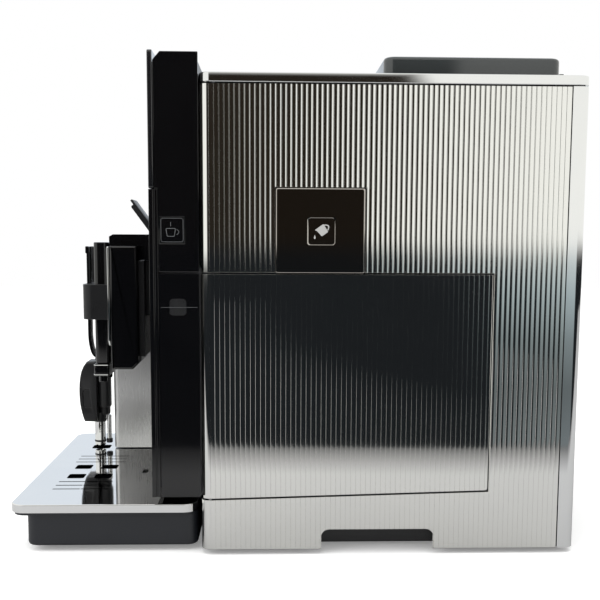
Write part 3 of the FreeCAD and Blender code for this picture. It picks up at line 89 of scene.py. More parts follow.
def volume(verts, faces):
    """Six times the volume is the sum of a . (b x c) over the triangles that fan out from each face's
    corner."""
    total = 0.0
    for size in {len(f) for f in faces}:
        corner = verts[np.array([f for f in faces if len(f) == size])]
        for k in range(1, size - 1):
            total += np.sum(corner[:, 0] * np.cross(corner[:, k], corner[:, k + 1]))
    return total / 6


def merge(*shapes):
    """Joins several (points, faces) shapes into one."""
    verts, faces, start = [], [], 0
    for v, f in shapes:
        verts.append(v)
        faces += [[i + start for i in face] for face in f]
        start += len(v)
    return np.concatenate(verts), faces


def put(name, shape, body, slot, stands_for=(), sharp=32.0, closed=True):
    """Makes a mesh object in metres that rides on a CAD body, and may stand for CAD nodes."""
    verts, faces = shape
    if closed and volume(verts, faces) < 0:
        faces = [f[::-1] for f in faces]
    mesh = bpy.data.meshes.new(name)
    mesh.from_pydata((verts * MM).tolist(), [], faces)
    mesh.polygons.foreach_set("use_smooth", np.ones(len(faces), bool))
    mesh.set_sharp_from_angle(angle=math.radians(sharp))
    mesh.materials.append(FINISHES[slot])
    obj = bpy.data.objects.new(name, mesh)
    scene.collection.objects.link(obj)
    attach(obj, body)
    if stands_for:
        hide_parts(*stands_for)
    return obj


# %% Outlines in a plane
def round_polygon(corners, radii, steps=6):
    """A polygon with round corners: each corner becomes an arc that touches both of its sides."""
    p = np.array(corners, float)
    radii = np.broadcast_to(np.array(radii, float), len(p))
    into, out = p - np.roll(p, 1, 0), np.roll(p, -1, 0) - p
    into /= np.linalg.norm(into, axis=1)[:, None]
    out /= np.linalg.norm(out, axis=1)[:, None]
    turn = np.arctan2(into[:, 0] * out[:, 1] - into[:, 1] * out[:, 0], (into * out).sum(1))
    reach = radii * np.abs(np.tan(turn / 2))
    side = np.sign(turn)
    start = p - into * reach[:, None]
    centre = start + np.stack([-into[:, 1], into[:, 0]], 1) * (radii * side)[:, None]
    a = turn[:, None] * np.linspace(0, 1, steps + 1)[None, :]
    arm = (start - centre)[:, None, :]
    x = arm[..., 0] * np.cos(a) - arm[..., 1] * np.sin(a)
    y = arm[..., 0] * np.sin(a) + arm[..., 1] * np.cos(a)
    return (centre[:, None, :] + np.stack([x, y], -1)).reshape(-1, 2)


def round_rect(u0, u1, v0, v1, r, steps=6):
    return round_polygon([(u0, v0), (u1, v0), (u1, v1), (u0, v1)], r, steps)


def inset(outline, distance):
    """Moves each side of an anticlockwise outline inward by one distance, and meets the sides in a mitre."""
    if abs(distance) < 1e-9:
        return outline
    side = np.roll(outline, -1, 0) - outline
    length = np.linalg.norm(side, axis=1)
    keep = length > 1e-7
    side[~keep] = np.roll(side, -1, 0)[~keep]
    side /= np.linalg.norm(side, axis=1)[:, None]
    inward = np.stack([-side[:, 1], side[:, 0]], 1)
    before = np.roll(inward, 1, 0)
    shared = np.maximum(1 + (inward * before).sum(1), 0.2)[:, None]
    return outline + (inward + before) / shared * distance


def place(outline, along, axis):
    """Stands a flat outline up in space, at a distance along one axis."""
    u, v = outline[..., 0], outline[..., 1]
    a = np.full_like(u, along)
    return np.stack({"X": (a, u, v), "Y": (u, a, v), "Z": (u, v, a)}[axis], -1)


# %% The four shapes
def loft(rings, capped=True):
    """Rings of points joined in order, with a flat face on each end."""
    rows, cols = rings.shape[:2]
    faces = quads_of(rows, cols).tolist()
    if capped:
        faces += [list(range(cols))[::-1], list(range((rows - 1) * cols, rows * cols))]
    return rings.reshape(-1, 3), faces


def soft_slab(outline, axis, a0, a1, r=0.6, steps=3):
    """An outline from a0 to a1 with round rims: near each end it shrinks by r - r sin t, r - r cos t in.
    One more ring on each flat face keeps the rim's shading off it."""
    t = np.linspace(0, math.pi / 2, steps + 1)
    shrink, depth = r * (1 - np.sin(t)), r * (1 - np.cos(t))
    rows = list(zip(shrink, a0 + depth)) + list(zip(shrink[::-1], a1 - depth[::-1]))
    if min(outline.max(0) - outline.min(0)) > 6 * r:
        guard = 1.4 * r
        rows = [(guard, a0)] + rows + [(guard, a1)]
    return loft(np.stack([place(inset(outline, s), a, axis) for s, a in rows]))


def block(x0, x1, y0, y1, z0, z1, corner=1.0, r=0.5, axis="Z"):
    """A block with round upright corners and round rims."""
    spans = {"X": (y0, y1, z0, z1, x0, x1), "Y": (x0, x1, z0, z1, y0, y1),
             "Z": (x0, x1, y0, y1, z0, z1)}[axis]
    return soft_slab(round_rect(*spans[:4], corner), axis, spans[4], spans[5], r)


def moulding(outline, section, axis):
    """A closed section carried round an outline. Each of its points is (outward, along the axis)."""
    rings = np.stack([place(inset(outline, -out), along, axis) for out, along in section])
    return rings.reshape(-1, 3), quads_of(*rings.shape[:2], close_rows=True).tolist()


def between(outer, inner, section, axis):
    """A closed section from one outline to another: each of its points is (share of the way in, along the
    axis)."""
    rings = np.stack([place(outer + (inner - outer) * share, along, axis) for share, along in section])
    return rings.reshape(-1, 3), quads_of(*rings.shape[:2], close_rows=True).tolist()


def turned(section, x, y, z, axis="Z", sides=48):
    """A turned part: each (radius, distance along the axis) makes a circle round the axis."""
    angle = np.linspace(0, 2 * math.pi, sides, endpoint=False)
    circle = np.stack([np.cos(angle), np.sin(angle)], 1)
    rings = np.stack([place(circle * r, h, axis) for r, h in section])
    return loft(rings + np.array([x, y, z], float))


def ribbon(points, width, axis, a0, a1):
    """A flat line with round ends, such as one stroke of a symbol: the path moved both ways by half its
    width."""
    p = np.array(points, float)
    ahead = np.gradient(p, axis=0)
    ahead /= np.linalg.norm(ahead, axis=1)[:, None]
    left = np.stack([-ahead[:, 1], ahead[:, 0]], 1)
    tip = np.linspace(0, math.pi, 7)[1:-1, None]
    end = p[-1] + width / 2 * (np.cos(tip) * -left[-1] + np.sin(tip) * ahead[-1])
    start = p[0] + width / 2 * (np.cos(tip) * left[0] - np.sin(tip) * ahead[0])
    outline = np.concatenate([p - left * width / 2, end, (p + left * width / 2)[::-1], start])
    return soft_slab(outline, axis, a0, a1, min(0.04, width / 5), 1)


print("helpers ready")

# %% [markdown]
# ## The finishes
# Each finish is one small node tree. A wide, soft noise shifts the colour a little, as handling and moulding
# do. A fine grain, which may be stretched along one axis for brushing, drives the roughness and a shallow
# bump. What is the same all over, such as the metal share or the coat, is set on the shader itself. The
# patterns read Object coordinates, in metres, so a scale of 2000 makes grains half a millimetre wide.

# %% A finish from a few numbers
def node(tree, kind, **inputs):
    made = tree.nodes.new(kind)
    for key, value in inputs.items():
        made.inputs[key.replace("_", " ")].default_value = value
    return made


def finish(slot, colour, other=None, metal=0.0, rough=(0.3, 0.4), patch=30.0, grain=900.0,
           stretch=(1, 1, 1), bump=0.15, depth=0.02, **shader):
    """Colour and its patchy shade, a roughness span, a grain (per metre) and a bump depth in millimetres."""
    mat = bpy.data.materials.new(slot)
    mat.use_nodes = True
    tree = mat.node_tree
    link = tree.links.new
    principled = tree.nodes["Principled BSDF"]
    where = node(tree, "ShaderNodeTexCoord")
    turn = node(tree, "ShaderNodeMapping")
    turn.inputs["Scale"].default_value = stretch
    link(where.outputs["Object"], turn.inputs["Vector"])
    wide = node(tree, "ShaderNodeTexNoise", Scale=patch, Detail=3.0)
    fine = node(tree, "ShaderNodeTexNoise", Scale=grain, Detail=4.0, Roughness=0.6)
    link(where.outputs["Object"], wide.inputs["Vector"])
    link(turn.outputs["Vector"], fine.inputs["Vector"])
    tint = node(tree, "ShaderNodeMix")
    tint.data_type = "RGBA"
    tint.inputs["A"].default_value = (*colour, 1)
    tint.inputs["B"].default_value = (*(other or [c * 0.8 for c in colour]), 1)
    link(wide.outputs["Fac"], tint.inputs["Factor"])
    link(tint.outputs["Result"], principled.inputs["Base Color"])
    blend = node(tree, "ShaderNodeMix")
    link(fine.outputs["Fac"], blend.inputs["A"])
    link(wide.outputs["Fac"], blend.inputs["B"])
    span = node(tree, "ShaderNodeMapRange")
    span.inputs["From Min"].default_value = 0.3
    span.inputs["From Max"].default_value = 0.7
    span.inputs["To Min"].default_value, span.inputs["To Max"].default_value = rough
    link(blend.outputs["Result"], span.inputs["Value"])
    link(span.outputs["Result"], principled.inputs["Roughness"])
    relief = node(tree, "ShaderNodeBump", Strength=bump, Distance=depth * MM)
    link(fine.outputs["Fac"], relief.inputs["Height"])
    link(relief.outputs["Normal"], principled.inputs["Normal"])
    principled.inputs["Metallic"].default_value = metal
    for key, value in shader.items():
        principled.inputs[key.replace("_", " ")].default_value = value
    FINISHES[slot] = mat
    return mat


# %% [markdown]
# Steel comes in four kinds here: mirror-polished flutes, a polished band, a darker mirror on the filling
# flap, and steel brushed up and down. Brushing is the same noise squeezed thin across the grain: a large
# scale in X and Y with a small one in Z gives long upright hairlines.

# %% Metals
EVEN, HAIRLINE = (1, 1, 1), (1.0, 1.0, 0.012)     # how far the grain is stretched along X, Y and Z
finish("fluted_steel", (0.87, 0.865, 0.835), (0.83, 0.83, 0.81), 1.0, (0.035, 0.085), 18, 2600,
       HAIRLINE, 0.05, 0.004)
finish("polished_steel", (0.86, 0.86, 0.85), (0.80, 0.81, 0.82), 1.0, (0.03, 0.09), 25, 1500,
       EVEN, 0.04, 0.004)
finish("brushed_steel", (0.68, 0.68, 0.68), (0.60, 0.60, 0.60), 0.8, (0.22, 0.38), 22, 3200,
       HAIRLINE, 0.25, 0.012)
finish("dark_mirror", (0.50, 0.47, 0.44), (0.42, 0.39, 0.36), 1.0, (0.03, 0.08), 30, 1800,
       EVEN, 0.03, 0.003)
finish("zinc_steel", (0.55, 0.55, 0.56), (0.46, 0.46, 0.48), 1.0, (0.28, 0.45), 60, 1200, EVEN, 0.2, 0.02)
finish("aluminium", (0.66, 0.66, 0.67), (0.56, 0.56, 0.57), 1.0, (0.38, 0.58), 45, 700, EVEN, 0.5, 0.05)
finish("burr_steel", (0.45, 0.45, 0.46), (0.36, 0.36, 0.37), 1.0, (0.25, 0.42), 80, 1600, EVEN, 0.2, 0.02)
finish("brass", (0.72, 0.54, 0.26), (0.62, 0.45, 0.20), 1.0, (0.2, 0.36), 50, 1400,
       (1, 1, 0.2), 0.15, 0.015)
print("metals:", len(FINISHES))

# %% [markdown]
# The front of the machine is black plastic in two finishes. The gloss one is nearly a mirror, with faint
# wiping marks in its roughness. The satin one has the fine spark-eroded texture that hides fingerprints.
# The display has a glass look, so it is smoother still, with a clear coat. The hopper lids and the tank let
# light through.

# %% Plastics, rubber and the rest
finish("gloss_black", (0.0015, 0.0015, 0.002), (0.003, 0.003, 0.0035), 0.0, (0.05, 0.12), 20, 1800,
       EVEN, 0.04, 0.006, Coat_Weight=0.3, Coat_Roughness=0.05)
finish("satin_black", (0.008, 0.008, 0.009), (0.012, 0.012, 0.013), 0.0, (0.24, 0.36), 25, 2400,
       EVEN, 0.35, 0.02)
finish("display_glass", (0.006, 0.006, 0.007), (0.009, 0.009, 0.010), 0.0, (0.02, 0.05), 12, 900,
       EVEN, 0.02, 0.004, Coat_Weight=1.0, Coat_Roughness=0.02)
finish("basin_grey", (0.008, 0.0095, 0.013), (0.011, 0.0125, 0.016), 0.0, (0.34, 0.46), 20, 2200,
       EVEN, 0.3, 0.02)
finish("flap_grey", (0.085, 0.09, 0.095), (0.11, 0.115, 0.12), 0.0, (0.35, 0.48), 40, 2000,
       EVEN, 0.3, 0.02)
finish("flap_face", (0.012, 0.0125, 0.0135), (0.017, 0.0175, 0.0185), 0.0, (0.22, 0.34), 40, 2000,
       EVEN, 0.2, 0.02)
finish("symbol_grey", (0.42, 0.42, 0.41), (0.36, 0.36, 0.35), 0.0, (0.35, 0.48), 60, 1500,
       EVEN, 0.15, 0.01)
finish("smoked_lid", (0.035, 0.040, 0.041), (0.050, 0.056, 0.057), 0.0, (0.05, 0.11), 16, 1200,
       EVEN, 0.04, 0.006, Transmission_Weight=0.25, Coat_Weight=0.5, Coat_Roughness=0.04)
finish("clear_tank", (0.80, 0.84, 0.86), (0.74, 0.79, 0.82), 0.0, (0.06, 0.16), 20, 900,
       EVEN, 0.06, 0.01, Transmission_Weight=0.85, IOR=1.49)
finish("frame_plastic", (0.075, 0.075, 0.08), (0.095, 0.095, 0.10), 0.0, (0.45, 0.6), 20, 1500,
       EVEN, 0.3, 0.03)
finish("rubber", (0.018, 0.018, 0.018), (0.028, 0.028, 0.027), 0.0, (0.68, 0.85), 70, 1400,
       EVEN, 0.5, 0.04)
finish("white_plastic", (0.70, 0.70, 0.68), (0.62, 0.62, 0.60), 0.0, (0.35, 0.48), 35, 1500,
       EVEN, 0.15, 0.02, Subsurface_Weight=0.05)
finish("circuit_green", (0.02, 0.13, 0.06), (0.05, 0.20, 0.09), 0.0, (0.25, 0.4), 160, 700,
       EVEN, 0.3, 0.03, Coat_Weight=0.5)
finish("silicone_hose", (0.62, 0.63, 0.62), (0.54, 0.55, 0.55), 0.0, (0.3, 0.45), 60, 900,
       EVEN, 0.1, 0.02, Transmission_Weight=0.3, Subsurface_Weight=0.2)
for part in frame["record"]["subparts"]:
    cad = frame["nodes"][part["node"]]
    cad.data.materials.clear()
    cad.data.materials.append(FINISHES[part["material_slot"]])
print("finishes:", len(FINISHES), "on", len(frame["nodes"]), "CAD nodes")

# %% [markdown]
# ## The fluted steel sides
# The skin is one sheet of polished steel, rolled into upright flutes about 4 mm apart. Each flute is a
# shallow crest, which bends a reflection by some twelve degrees to each side, between narrow right-angled
# grooves. A groove at a right angle sends light back where it came from, so it reads as a thin dark line. The
# sheet is a plain grid: a section in plan, X as a function of Y, carried up from one height to another. Both
# heights are functions of Y too, which is how the slanted door edge and the hand hold are cut.

# %% The section in plan
SKIN_X, Y_FRONT_EDGE, Y_FLUTES, Y_LAST = 144.2, -75.7, -68.0, 218.7
PITCH, GROOVE_HALF, GROOVE_DEPTH, CREST_SLOPE = 4.1, 0.26, 0.26, 5.8   # the slope in degrees
PANEL_LEAN, DOOR_LEAN = 1.4, -3.5             # degrees
SHEET = 1.3


def flutes(lean):
    """Y and X of the section: per flute X falls from its crest by a parabola, leans a little, and drops 45
    degrees into a groove at each side. A quarter circle leads round the front corner."""
    count = round((Y_LAST - Y_FLUTES) / PITCH)
    pitch = (Y_LAST - Y_FLUTES) / count
    half = pitch / 2 - GROOVE_HALF
    t = np.linspace(-1, 1, 7)
    fall = half / 2 * math.tan(math.radians(CREST_SLOPE)) * t ** 2
    tilt = -math.tan(math.radians(lean)) * half * t
    crest = -fall + tilt
    crest -= crest.max()
    first, last = crest[0], crest[-1]
    local_y = np.concatenate([[(last - first) / 2], GROOVE_HALF + (t + 1) * half])
    local_x = np.concatenate([[(first + last) / 2 - GROOVE_DEPTH], crest])
    y = (Y_FLUTES + np.arange(count)[:, None] * pitch + local_y[None, :]).ravel()
    x = SKIN_X + np.tile(local_x, count)
    a = np.linspace(math.pi / 2, 0, 12)[:-1]
    foot = SKIN_X + local_x.min()
    radius = Y_FLUTES - Y_FRONT_EDGE
    return (np.concatenate([Y_FLUTES - radius * np.sin(a), y, [Y_LAST]]),
            np.concatenate([foot - radius + radius * np.cos(a), x, [foot]]))


def with_columns(y, x, *extra):
    """Adds columns at given places, so that an edge of a hole falls on one."""
    every = np.unique(np.concatenate([y, extra]))
    return every, np.interp(every, y, x)


def sheet_surface(y, x, heights, insets, drop=None):
    """Rows of (height, inset) over the columns. drop(row, y) says which cells are left out."""
    z = np.stack([np.broadcast_to(h, y.shape) for h in heights])
    back = np.stack([np.broadcast_to(i, y.shape) for i in insets])
    points = np.stack([x[None, :] - back, np.broadcast_to(y, z.shape), z], -1)
    faces = quads_of(*z.shape, close_cols=False)
    row, col = np.divmod(np.arange(len(faces)), len(y) - 1)
    mid = (y[:-1] + y[1:])[col] / 2
    if drop is not None:
        faces = faces[~drop(row, mid)]
    return points.reshape(-1, 3), faces.tolist()


def to_left(shape):
    """The mirror image: X changes sign, and each face is turned round to look outward again."""
    verts, faces = shape
    return verts * [-1, 1, 1], [f[::-1] for f in faces]


def thicken(obj, thickness):
    """Gives an open sheet its wall, grown inward."""
    wall = obj.modifiers.new("wall", "SOLIDIFY")
    wall.thickness = thickness * MM
    wall.offset = -1


# %% Side panels
HOLD = (22.5, 116.0, 21.0, 7.0)               # the hand hold: from, to, top, corner radius
DOOR_BACK, DOOR_TOP, SEAM, LIP = 159.8, 231.5, 0.8, 0.45
FLAP = (-15.4, 56.4, 299.7)                   # the filling flap's seat: from, to, top
PAN_Z, SKIN_TOP = 4.5, 380.0


def hold_height(y):
    """The skin's lower edge: the pan line, or the slot's top with its round corners."""
    side = np.minimum(y - HOLD[0], HOLD[1] - y)
    dip = np.clip(HOLD[3] - side, 0, HOLD[3])
    top = HOLD[2] - HOLD[3] + np.sqrt(HOLD[3] ** 2 - dip ** 2)
    return np.where(side >= 0, top, PAN_Z)


def door_edge(y):
    """The door's lower edge rises in a straight line from the front to the back."""
    low, rise_by, start, run = 47.0, 6.5, -79.0, 238.8
    return low + (y - start) * rise_by / run


def side_sheet(right):
    """The whole side. On the right, the door's opening and the flap's seat are left out."""
    rounds = np.concatenate([HOLD[0] + HOLD[3] * (1 - np.cos(np.linspace(0, math.pi / 2, 7))),
                             HOLD[1] - HOLD[3] * (1 - np.cos(np.linspace(0, math.pi / 2, 7)))])
    y, x = with_columns(*flutes(PANEL_LEAN), *rounds, HOLD[0] - 0.01, HOLD[1] + 0.01, FLAP[0], FLAP[1],
                        DOOR_BACK + SEAM)
    low = hold_height(y)
    if not right:
        shape = sheet_surface(y, x, [low, low + LIP, SKIN_TOP - LIP, SKIN_TOP], [LIP, 0, 0, LIP])
        return to_left(shape)
    beside = np.where(y <= DOOR_BACK + SEAM + TINY, LIP, 0)
    edge = door_edge(y) - SEAM
    over_flap = np.where((y >= FLAP[0] - TINY) & (y <= FLAP[1] + TINY), LIP, 0)
    heights = [low, low + LIP, edge - LIP, edge, DOOR_TOP + SEAM, DOOR_TOP + SEAM + LIP, FLAP[2],
               FLAP[2] + LIP, SKIN_TOP - LIP, SKIN_TOP]
    insets = [LIP, 0, 0, beside, beside, 0, over_flap, 0, 0, LIP]

    def left_out(row, mid):
        door = (row == 3) & (mid < DOOR_BACK + SEAM)
        seat = ((row == 4) | (row == 5)) & (mid > FLAP[0]) & (mid < FLAP[1])
        return door | seat
    return sheet_surface(y, x, heights, insets, left_out)


for name, right in (("fluted_side_right", True), ("fluted_side_left", False)):
    panel = put(name, side_sheet(right), "housing", "fluted_steel",
                ["right_side_panel" if right else "left_side_panel"], sharp=28, closed=False)
    thicken(panel, SHEET)
    print(name, len(panel.data.polygons), "faces")

# %% [markdown]
# The tank door is the same sheet between other heights. Its flutes lean the other way by a few degrees, so
# it mirrors a darker part of the room than the panel does. That lean is a guess.

# %% Tank door
y, x = flutes(DOOR_LEAN)
y, x = with_columns(y, x, DOOR_BACK - LIP, DOOR_BACK, *(DOOR_BACK - np.array([0.2, 0.6, 1.2, 2.0])))
x, y = x[y <= DOOR_BACK + TINY], y[y <= DOOR_BACK + TINY]
CORNER = 2.0
corner = np.clip(CORNER - (DOOR_BACK - y), 0, CORNER)
low = door_edge(y) + CORNER - np.sqrt(CORNER ** 2 - corner ** 2)
rim = np.where(y > DOOR_BACK - LIP / 2, LIP, 0)
door = sheet_surface(y, x, [low, low + LIP, DOOR_TOP - LIP, DOOR_TOP], [LIP + rim, rim, rim, LIP + rim])
tank_door = put("fluted_door", door, "tank", "fluted_steel", ["tank_door"], sharp=28, closed=False)
thicken(tank_door, SHEET)
print("door", len(tank_door.data.polygons), "faces")

# %% [markdown]
# ## The polished band round the top
# The band is one section carried round the top from the outer outline to the inner one. Round rims matter
# here: on a mirror finish the rim is what draws the thin bright line.

# %% Top band
HALF_W, Y_BACK, BAND_FOOT, DECK = 145.0, 234.0, 380.8, 388.4
BAND_W, BAND_RIM = 9, 0.8
outer = round_rect(-HALF_W, HALF_W, Y_FRONT_EDGE, Y_BACK, 10, 10)
inner = round_rect(-HALF_W + BAND_W, HALF_W - BAND_W, Y_FRONT_EDGE + BAND_W, Y_BACK - BAND_W, 5, 10)
band = [(0.06, BAND_FOOT), (0, BAND_FOOT + 0.5)]
band += [((BAND_RIM - BAND_RIM * math.cos(t)) / BAND_W, DECK - BAND_RIM + BAND_RIM * math.sin(t))
         for t in np.linspace(0, math.pi / 2, 5)]
band += [(0.95, DECK), (1.0, DECK - 0.4), (1.0, BAND_FOOT)]
put("top_band", between(outer, inner, band, "Z"), "housing", "polished_steel", ["top_frame"])

# %% [markdown]
# ## Parts that keep their CAD shape
# Many covers are right as they are, but a real moulding has no razor edge, and the narrow round edge is
# what catches the light. A copy of the CAD part is merged, its triangles are joined back into flat faces,
# and a Bevel modifier rounds every edge that turns by more than 35 degrees.

# %% Softened copies
def softened(cad_name, width):
    """A copy of a CAD part that rides with it and stands for it, with every edge rounded."""
    cad = frame["nodes"][cad_name]
    part = next(p for p in frame["record"]["subparts"] if p["node"] == cad_name)
    slot = part["material_slot"]
    form = bmesh.new()
    form.from_mesh(cad.data)
    bmesh.ops.remove_doubles(form, verts=form.verts, dist=0.002 * MM)
    bmesh.ops.dissolve_limit(form, angle_limit=math.radians(0.5), verts=form.verts, edges=form.edges)
    mesh = bpy.data.meshes.new(cad_name + "_soft")
    form.to_mesh(mesh)
    form.free()
    mesh.polygons.foreach_set("use_smooth", np.ones(len(mesh.polygons), bool))
    mesh.set_sharp_from_angle(angle=math.radians(34))
    mesh.materials.clear()
    mesh.materials.append(FINISHES[slot])
    obj = bpy.data.objects.new(cad_name + "_soft", mesh)
    scene.collection.objects.link(obj)
    bevel = obj.modifiers.new("edges", "BEVEL")
    bevel.width = width * MM
    bevel.segments = 2
    bevel.limit_method = "ANGLE"
    bevel.angle_limit = math.radians(35)
    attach(obj, cad["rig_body"])
    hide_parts(cad_name)
    return obj


SOFT = {"cheek_right": 0.5, "cheek_left": 0.5, "lower_cover_left": 0.4,
        "front_panel": 0.4, "display_housing": 0.5, "spout_hood": 0.8, "base_pan": 0.5,
        "grounds_container": 0.6, "power_inlet": 0.3, "power_switch": 0.3, "spout_carriage": 0.5,
        "side_button": 0.3, "release_button": 0.4, "drip_basin": 0.4, "preground_lid": 0.4,
        "port_housing": 0.4, "cup_shelf": 0.3, "spout_band": 0.5}
for cad_name, width in SOFT.items():
    softened(cad_name, width)
print("softened", len(SOFT), "parts")

# %% [markdown]
# ## The filling flap
# A square plate of darker polished steel covers the filling hole. It stands a little proud, and in its middle
# a shallow square well holds the symbol for filling: a tilted jug and a drop. The plate is a section carried
# from the outer square to the well's square, so that plate, rim and well wall are one surface.

# %% Flap plate and symbol
PLATE = round_rect(-15, 56, 232.3, 299.3, 1.4, 6)
PLATE_X, PLATE_BACK = 145.0, 143.4
WELL_Y, WELL_Z, WELL = 21.3, 265.4, 10.5
well = round_rect(WELL_Y - WELL, WELL_Y + WELL, WELL_Z - WELL, WELL_Z + WELL, 2.2, 6)
EDGE, WAY_IN = 0.85, 24       # the rim's radius, and about how far the plate reaches inward
QUARTER = np.linspace(0, math.pi / 2, 5)
rim_share = EDGE / WAY_IN
section = [(0.0, PLATE_BACK)]
section += [(rim_share * (1 - math.cos(t)), PLATE_X - EDGE + EDGE * math.sin(t)) for t in QUARTER]
section += [(rim_share + 0.02, PLATE_X), (0.96, PLATE_X), (1 - 0.35 / WAY_IN, PLATE_X),
            (1.0, PLATE_X - 0.25), (1.0, PLATE_X - 0.7), (0.9, PLATE_BACK)]
plate = between(PLATE, well, section, "X")
floor = soft_slab(inset(well, -1.0), "X", 143.5, 144.45, 0.1)
GUARD_Z, GUARD_R, GUARD_FOOT = 232.3, 61.5, 237.3
a = np.radians(np.linspace(0, 33, 7))
arc = np.stack([PLATE_BACK - GUARD_R * np.sin(a), GUARD_Z + GUARD_R * np.cos(a)], 1)
cheek = np.concatenate([[[PLATE_BACK, GUARD_FOOT]], arc, [[PLATE_BACK - 3.0, GUARD_FOOT]]])[::-1]
guards = [soft_slab(cheek, "Y", y, y + 1.6, 0.3) for y in (-10.0, 49.4)]
put("flap_plate", merge(plate, floor, *guards), "fill_flap", "dark_mirror", ["fill_flap"])

ICON_X = (144.42, 144.62)


def tilted(points, centre, angle, scale):
    """Turns a small drawing by an angle and sets it down at its place."""
    p = np.array(points, float) * scale
    c, s = math.cos(angle), math.sin(angle)
    return np.stack([p[:, 0] * c - p[:, 1] * s, p[:, 0] * s + p[:, 1] * c], 1) + centre


jug = round_polygon([(-3.0, -3.6), (3.0, -3.6), (3.4, 3.4), (-4.6, 3.4), (-3.6, 1.6)],
                    [0.8, 0.8, 0.5, 0.2, 0.4], 4)
grip = np.stack([3.2 + 2.4 * np.sin(np.linspace(0.2, math.pi - 0.2, 9)),
                 -2.2 + 4.4 * np.linspace(1, 0, 9)], 1)
d = np.linspace(0, 2 * math.pi, 17)[:-1]
drop = np.stack([0.85 * np.sin(d) * np.sin(d / 2) ** 1.2, 1.5 * np.cos(d)], 1)[::-1]
JUG = (np.array([WELL_Y + 0.6, WELL_Z + 0.9]), 0.62, 1.05)     # its place, turn in radians and scale
symbol = merge(soft_slab(tilted(jug, *JUG), "X", *ICON_X, 0.06, 1),
               ribbon(tilted(grip, *JUG), 0.95, "X", *ICON_X),
               soft_slab(tilted(drop, (WELL_Y - 5.4, WELL_Z - 4.4), 0, 1.1), "X", *ICON_X, 0.06, 1))
put("fill_symbol", symbol, "fill_flap", "symbol_grey")
print("flap and its symbol made")

# %% [markdown]
# ## Hopper lids
# Each lid is a shallow bowl turned upside down: rings of the same rounded rectangle, first straight up, then
# round over the rim, and then closer and closer to the middle on a slight crown. Solidify gives it a wall, so
# it is right from below too when it stands open. A small lip at the front is where a finger lifts it.

# %% Lids
LID = (22.0, 130.0, 71.5, 214.0)
LID_BASE, LID_TOP, CROWN, LID_RIM = 388.8, 405.0, 0.7, 2.6
LID_WALL, SEAL_IN = 2.2, 3
SEAL = [(0, 388.9), (0.7, 389.3), (0.7, 390.1), (0, 390.4), (-0.7, 390.1), (-0.7, 389.3)]


def lid_shell(x0, x1):
    """Height over the shrinking outline: straight, a quarter circle, then top - crown * s squared."""
    side = round_rect(x0, x1, LID[2], LID[3], 9, 7)
    t = np.linspace(0, math.pi / 2, 6)
    shoulder = LID_TOP - CROWN - LID_RIM
    rows = [place(side, z, "Z") for z in (LID_BASE, LID_BASE + 0.6, shoulder - 0.5)]
    rows += [place(inset(side, LID_RIM * (1 - math.cos(a))), shoulder + LID_RIM * math.sin(a), "Z")
             for a in t]
    rim = inset(side, LID_RIM)
    middle = rim.mean(0)
    for s in (0.97, 0.85, 0.65, 0.4, 0.15, 0.02):
        rows.append(place(middle + (rim - middle) * s, LID_TOP - CROWN * s ** 2, "Z"))
    rings = np.stack(rows)
    count, cols = rings.shape[:2]
    faces = quads_of(count, cols).tolist() + [list(range((count - 1) * cols, count * cols))]
    return rings.reshape(-1, 3), faces


for side, sign in (("right", 1), ("left", -1)):
    body = "hopper_lid_" + side
    x0, x1 = (LID[0], LID[1]) if sign > 0 else (-LID[1], -LID[0])
    shell = put("lid_shell_" + side, lid_shell(x0, x1), body, "smoked_lid", [body], closed=False)
    thicken(shell, LID_WALL)
    middle = (x0 + x1) / 2
    ears = [block(x - 5, x + 5, 212.6, 218.7, 390.0, 393.5, 1.2, 0.4, "X") for x in (x0 + 18, x1 - 18)]
    ears.append(block(middle - 13, middle + 13, 69.9, 72.5, 389.0, 391.8, 1.2, 0.5))
    put("lid_fittings_" + side, merge(*ears), body, "smoked_lid")
    seat = round_rect(x0 + SEAL_IN, x1 - SEAL_IN, LID[2] + SEAL_IN, LID[3] - SEAL_IN, 6.5)
    put("lid_seal_" + side, moulding(seat, SEAL, "Z"), body, "rubber")
print("lids made")

# %% [markdown]
# ## The display glass
# The black slab at the front is glass in looks. Its symbols are printed on: four cups, three lines of steam
# and a power ring, all plain and generic. Each is a thin ribbon or ring, less than a fifth of a millimetre
# high.

# %% Glass and printed symbols
GLASS_Y = (-115.5, -111.5)
glass = round_rect(-143.5, 143.5, 298.5, 405.0, 2.0)
put("display_slab", soft_slab(glass, "Y", *GLASS_Y, 0.7), "housing", "display_glass", ["display_glass"])
INK = (-115.62, -115.45)


def circle(u, v, r, count=28):
    a = np.linspace(0, 2 * math.pi, count, endpoint=False)
    return np.stack([u + r * np.cos(a), v + r * np.sin(a)], 1)


def ring(outline, width, inks, axis):
    """A closed line: a flat section carried round the outline."""
    w = width / 2
    return moulding(outline, [(-w, inks[0]), (w, inks[0]), (w, inks[1]), (-w, inks[1])], axis)


def cup_symbol(u, v, size, tall):
    """A cup with a handle, and a level line for how full it is."""
    foot = size * 0.7
    cup = round_polygon([(u - foot, v), (u + foot, v), (u + size, v + tall), (u - size, v + tall)],
                        [1.2, 1.2, 0.3, 0.3], 4)
    handle = np.stack([u + size * 0.9 + size * 0.75 * np.sin(np.linspace(0.1, math.pi - 0.3, 9)),
                       v + tall * (0.85 - 0.62 * np.linspace(0, 1, 9))], 1)
    level = [(u - size * 0.55, v + tall * 0.5), (u, v + tall * 0.5), (u + size * 0.55, v + tall * 0.5)]
    return merge(ring(cup, 0.5, INK, "Y"), ribbon(handle, 0.5, "Y", *INK), ribbon(level, 0.4, "Y", *INK))


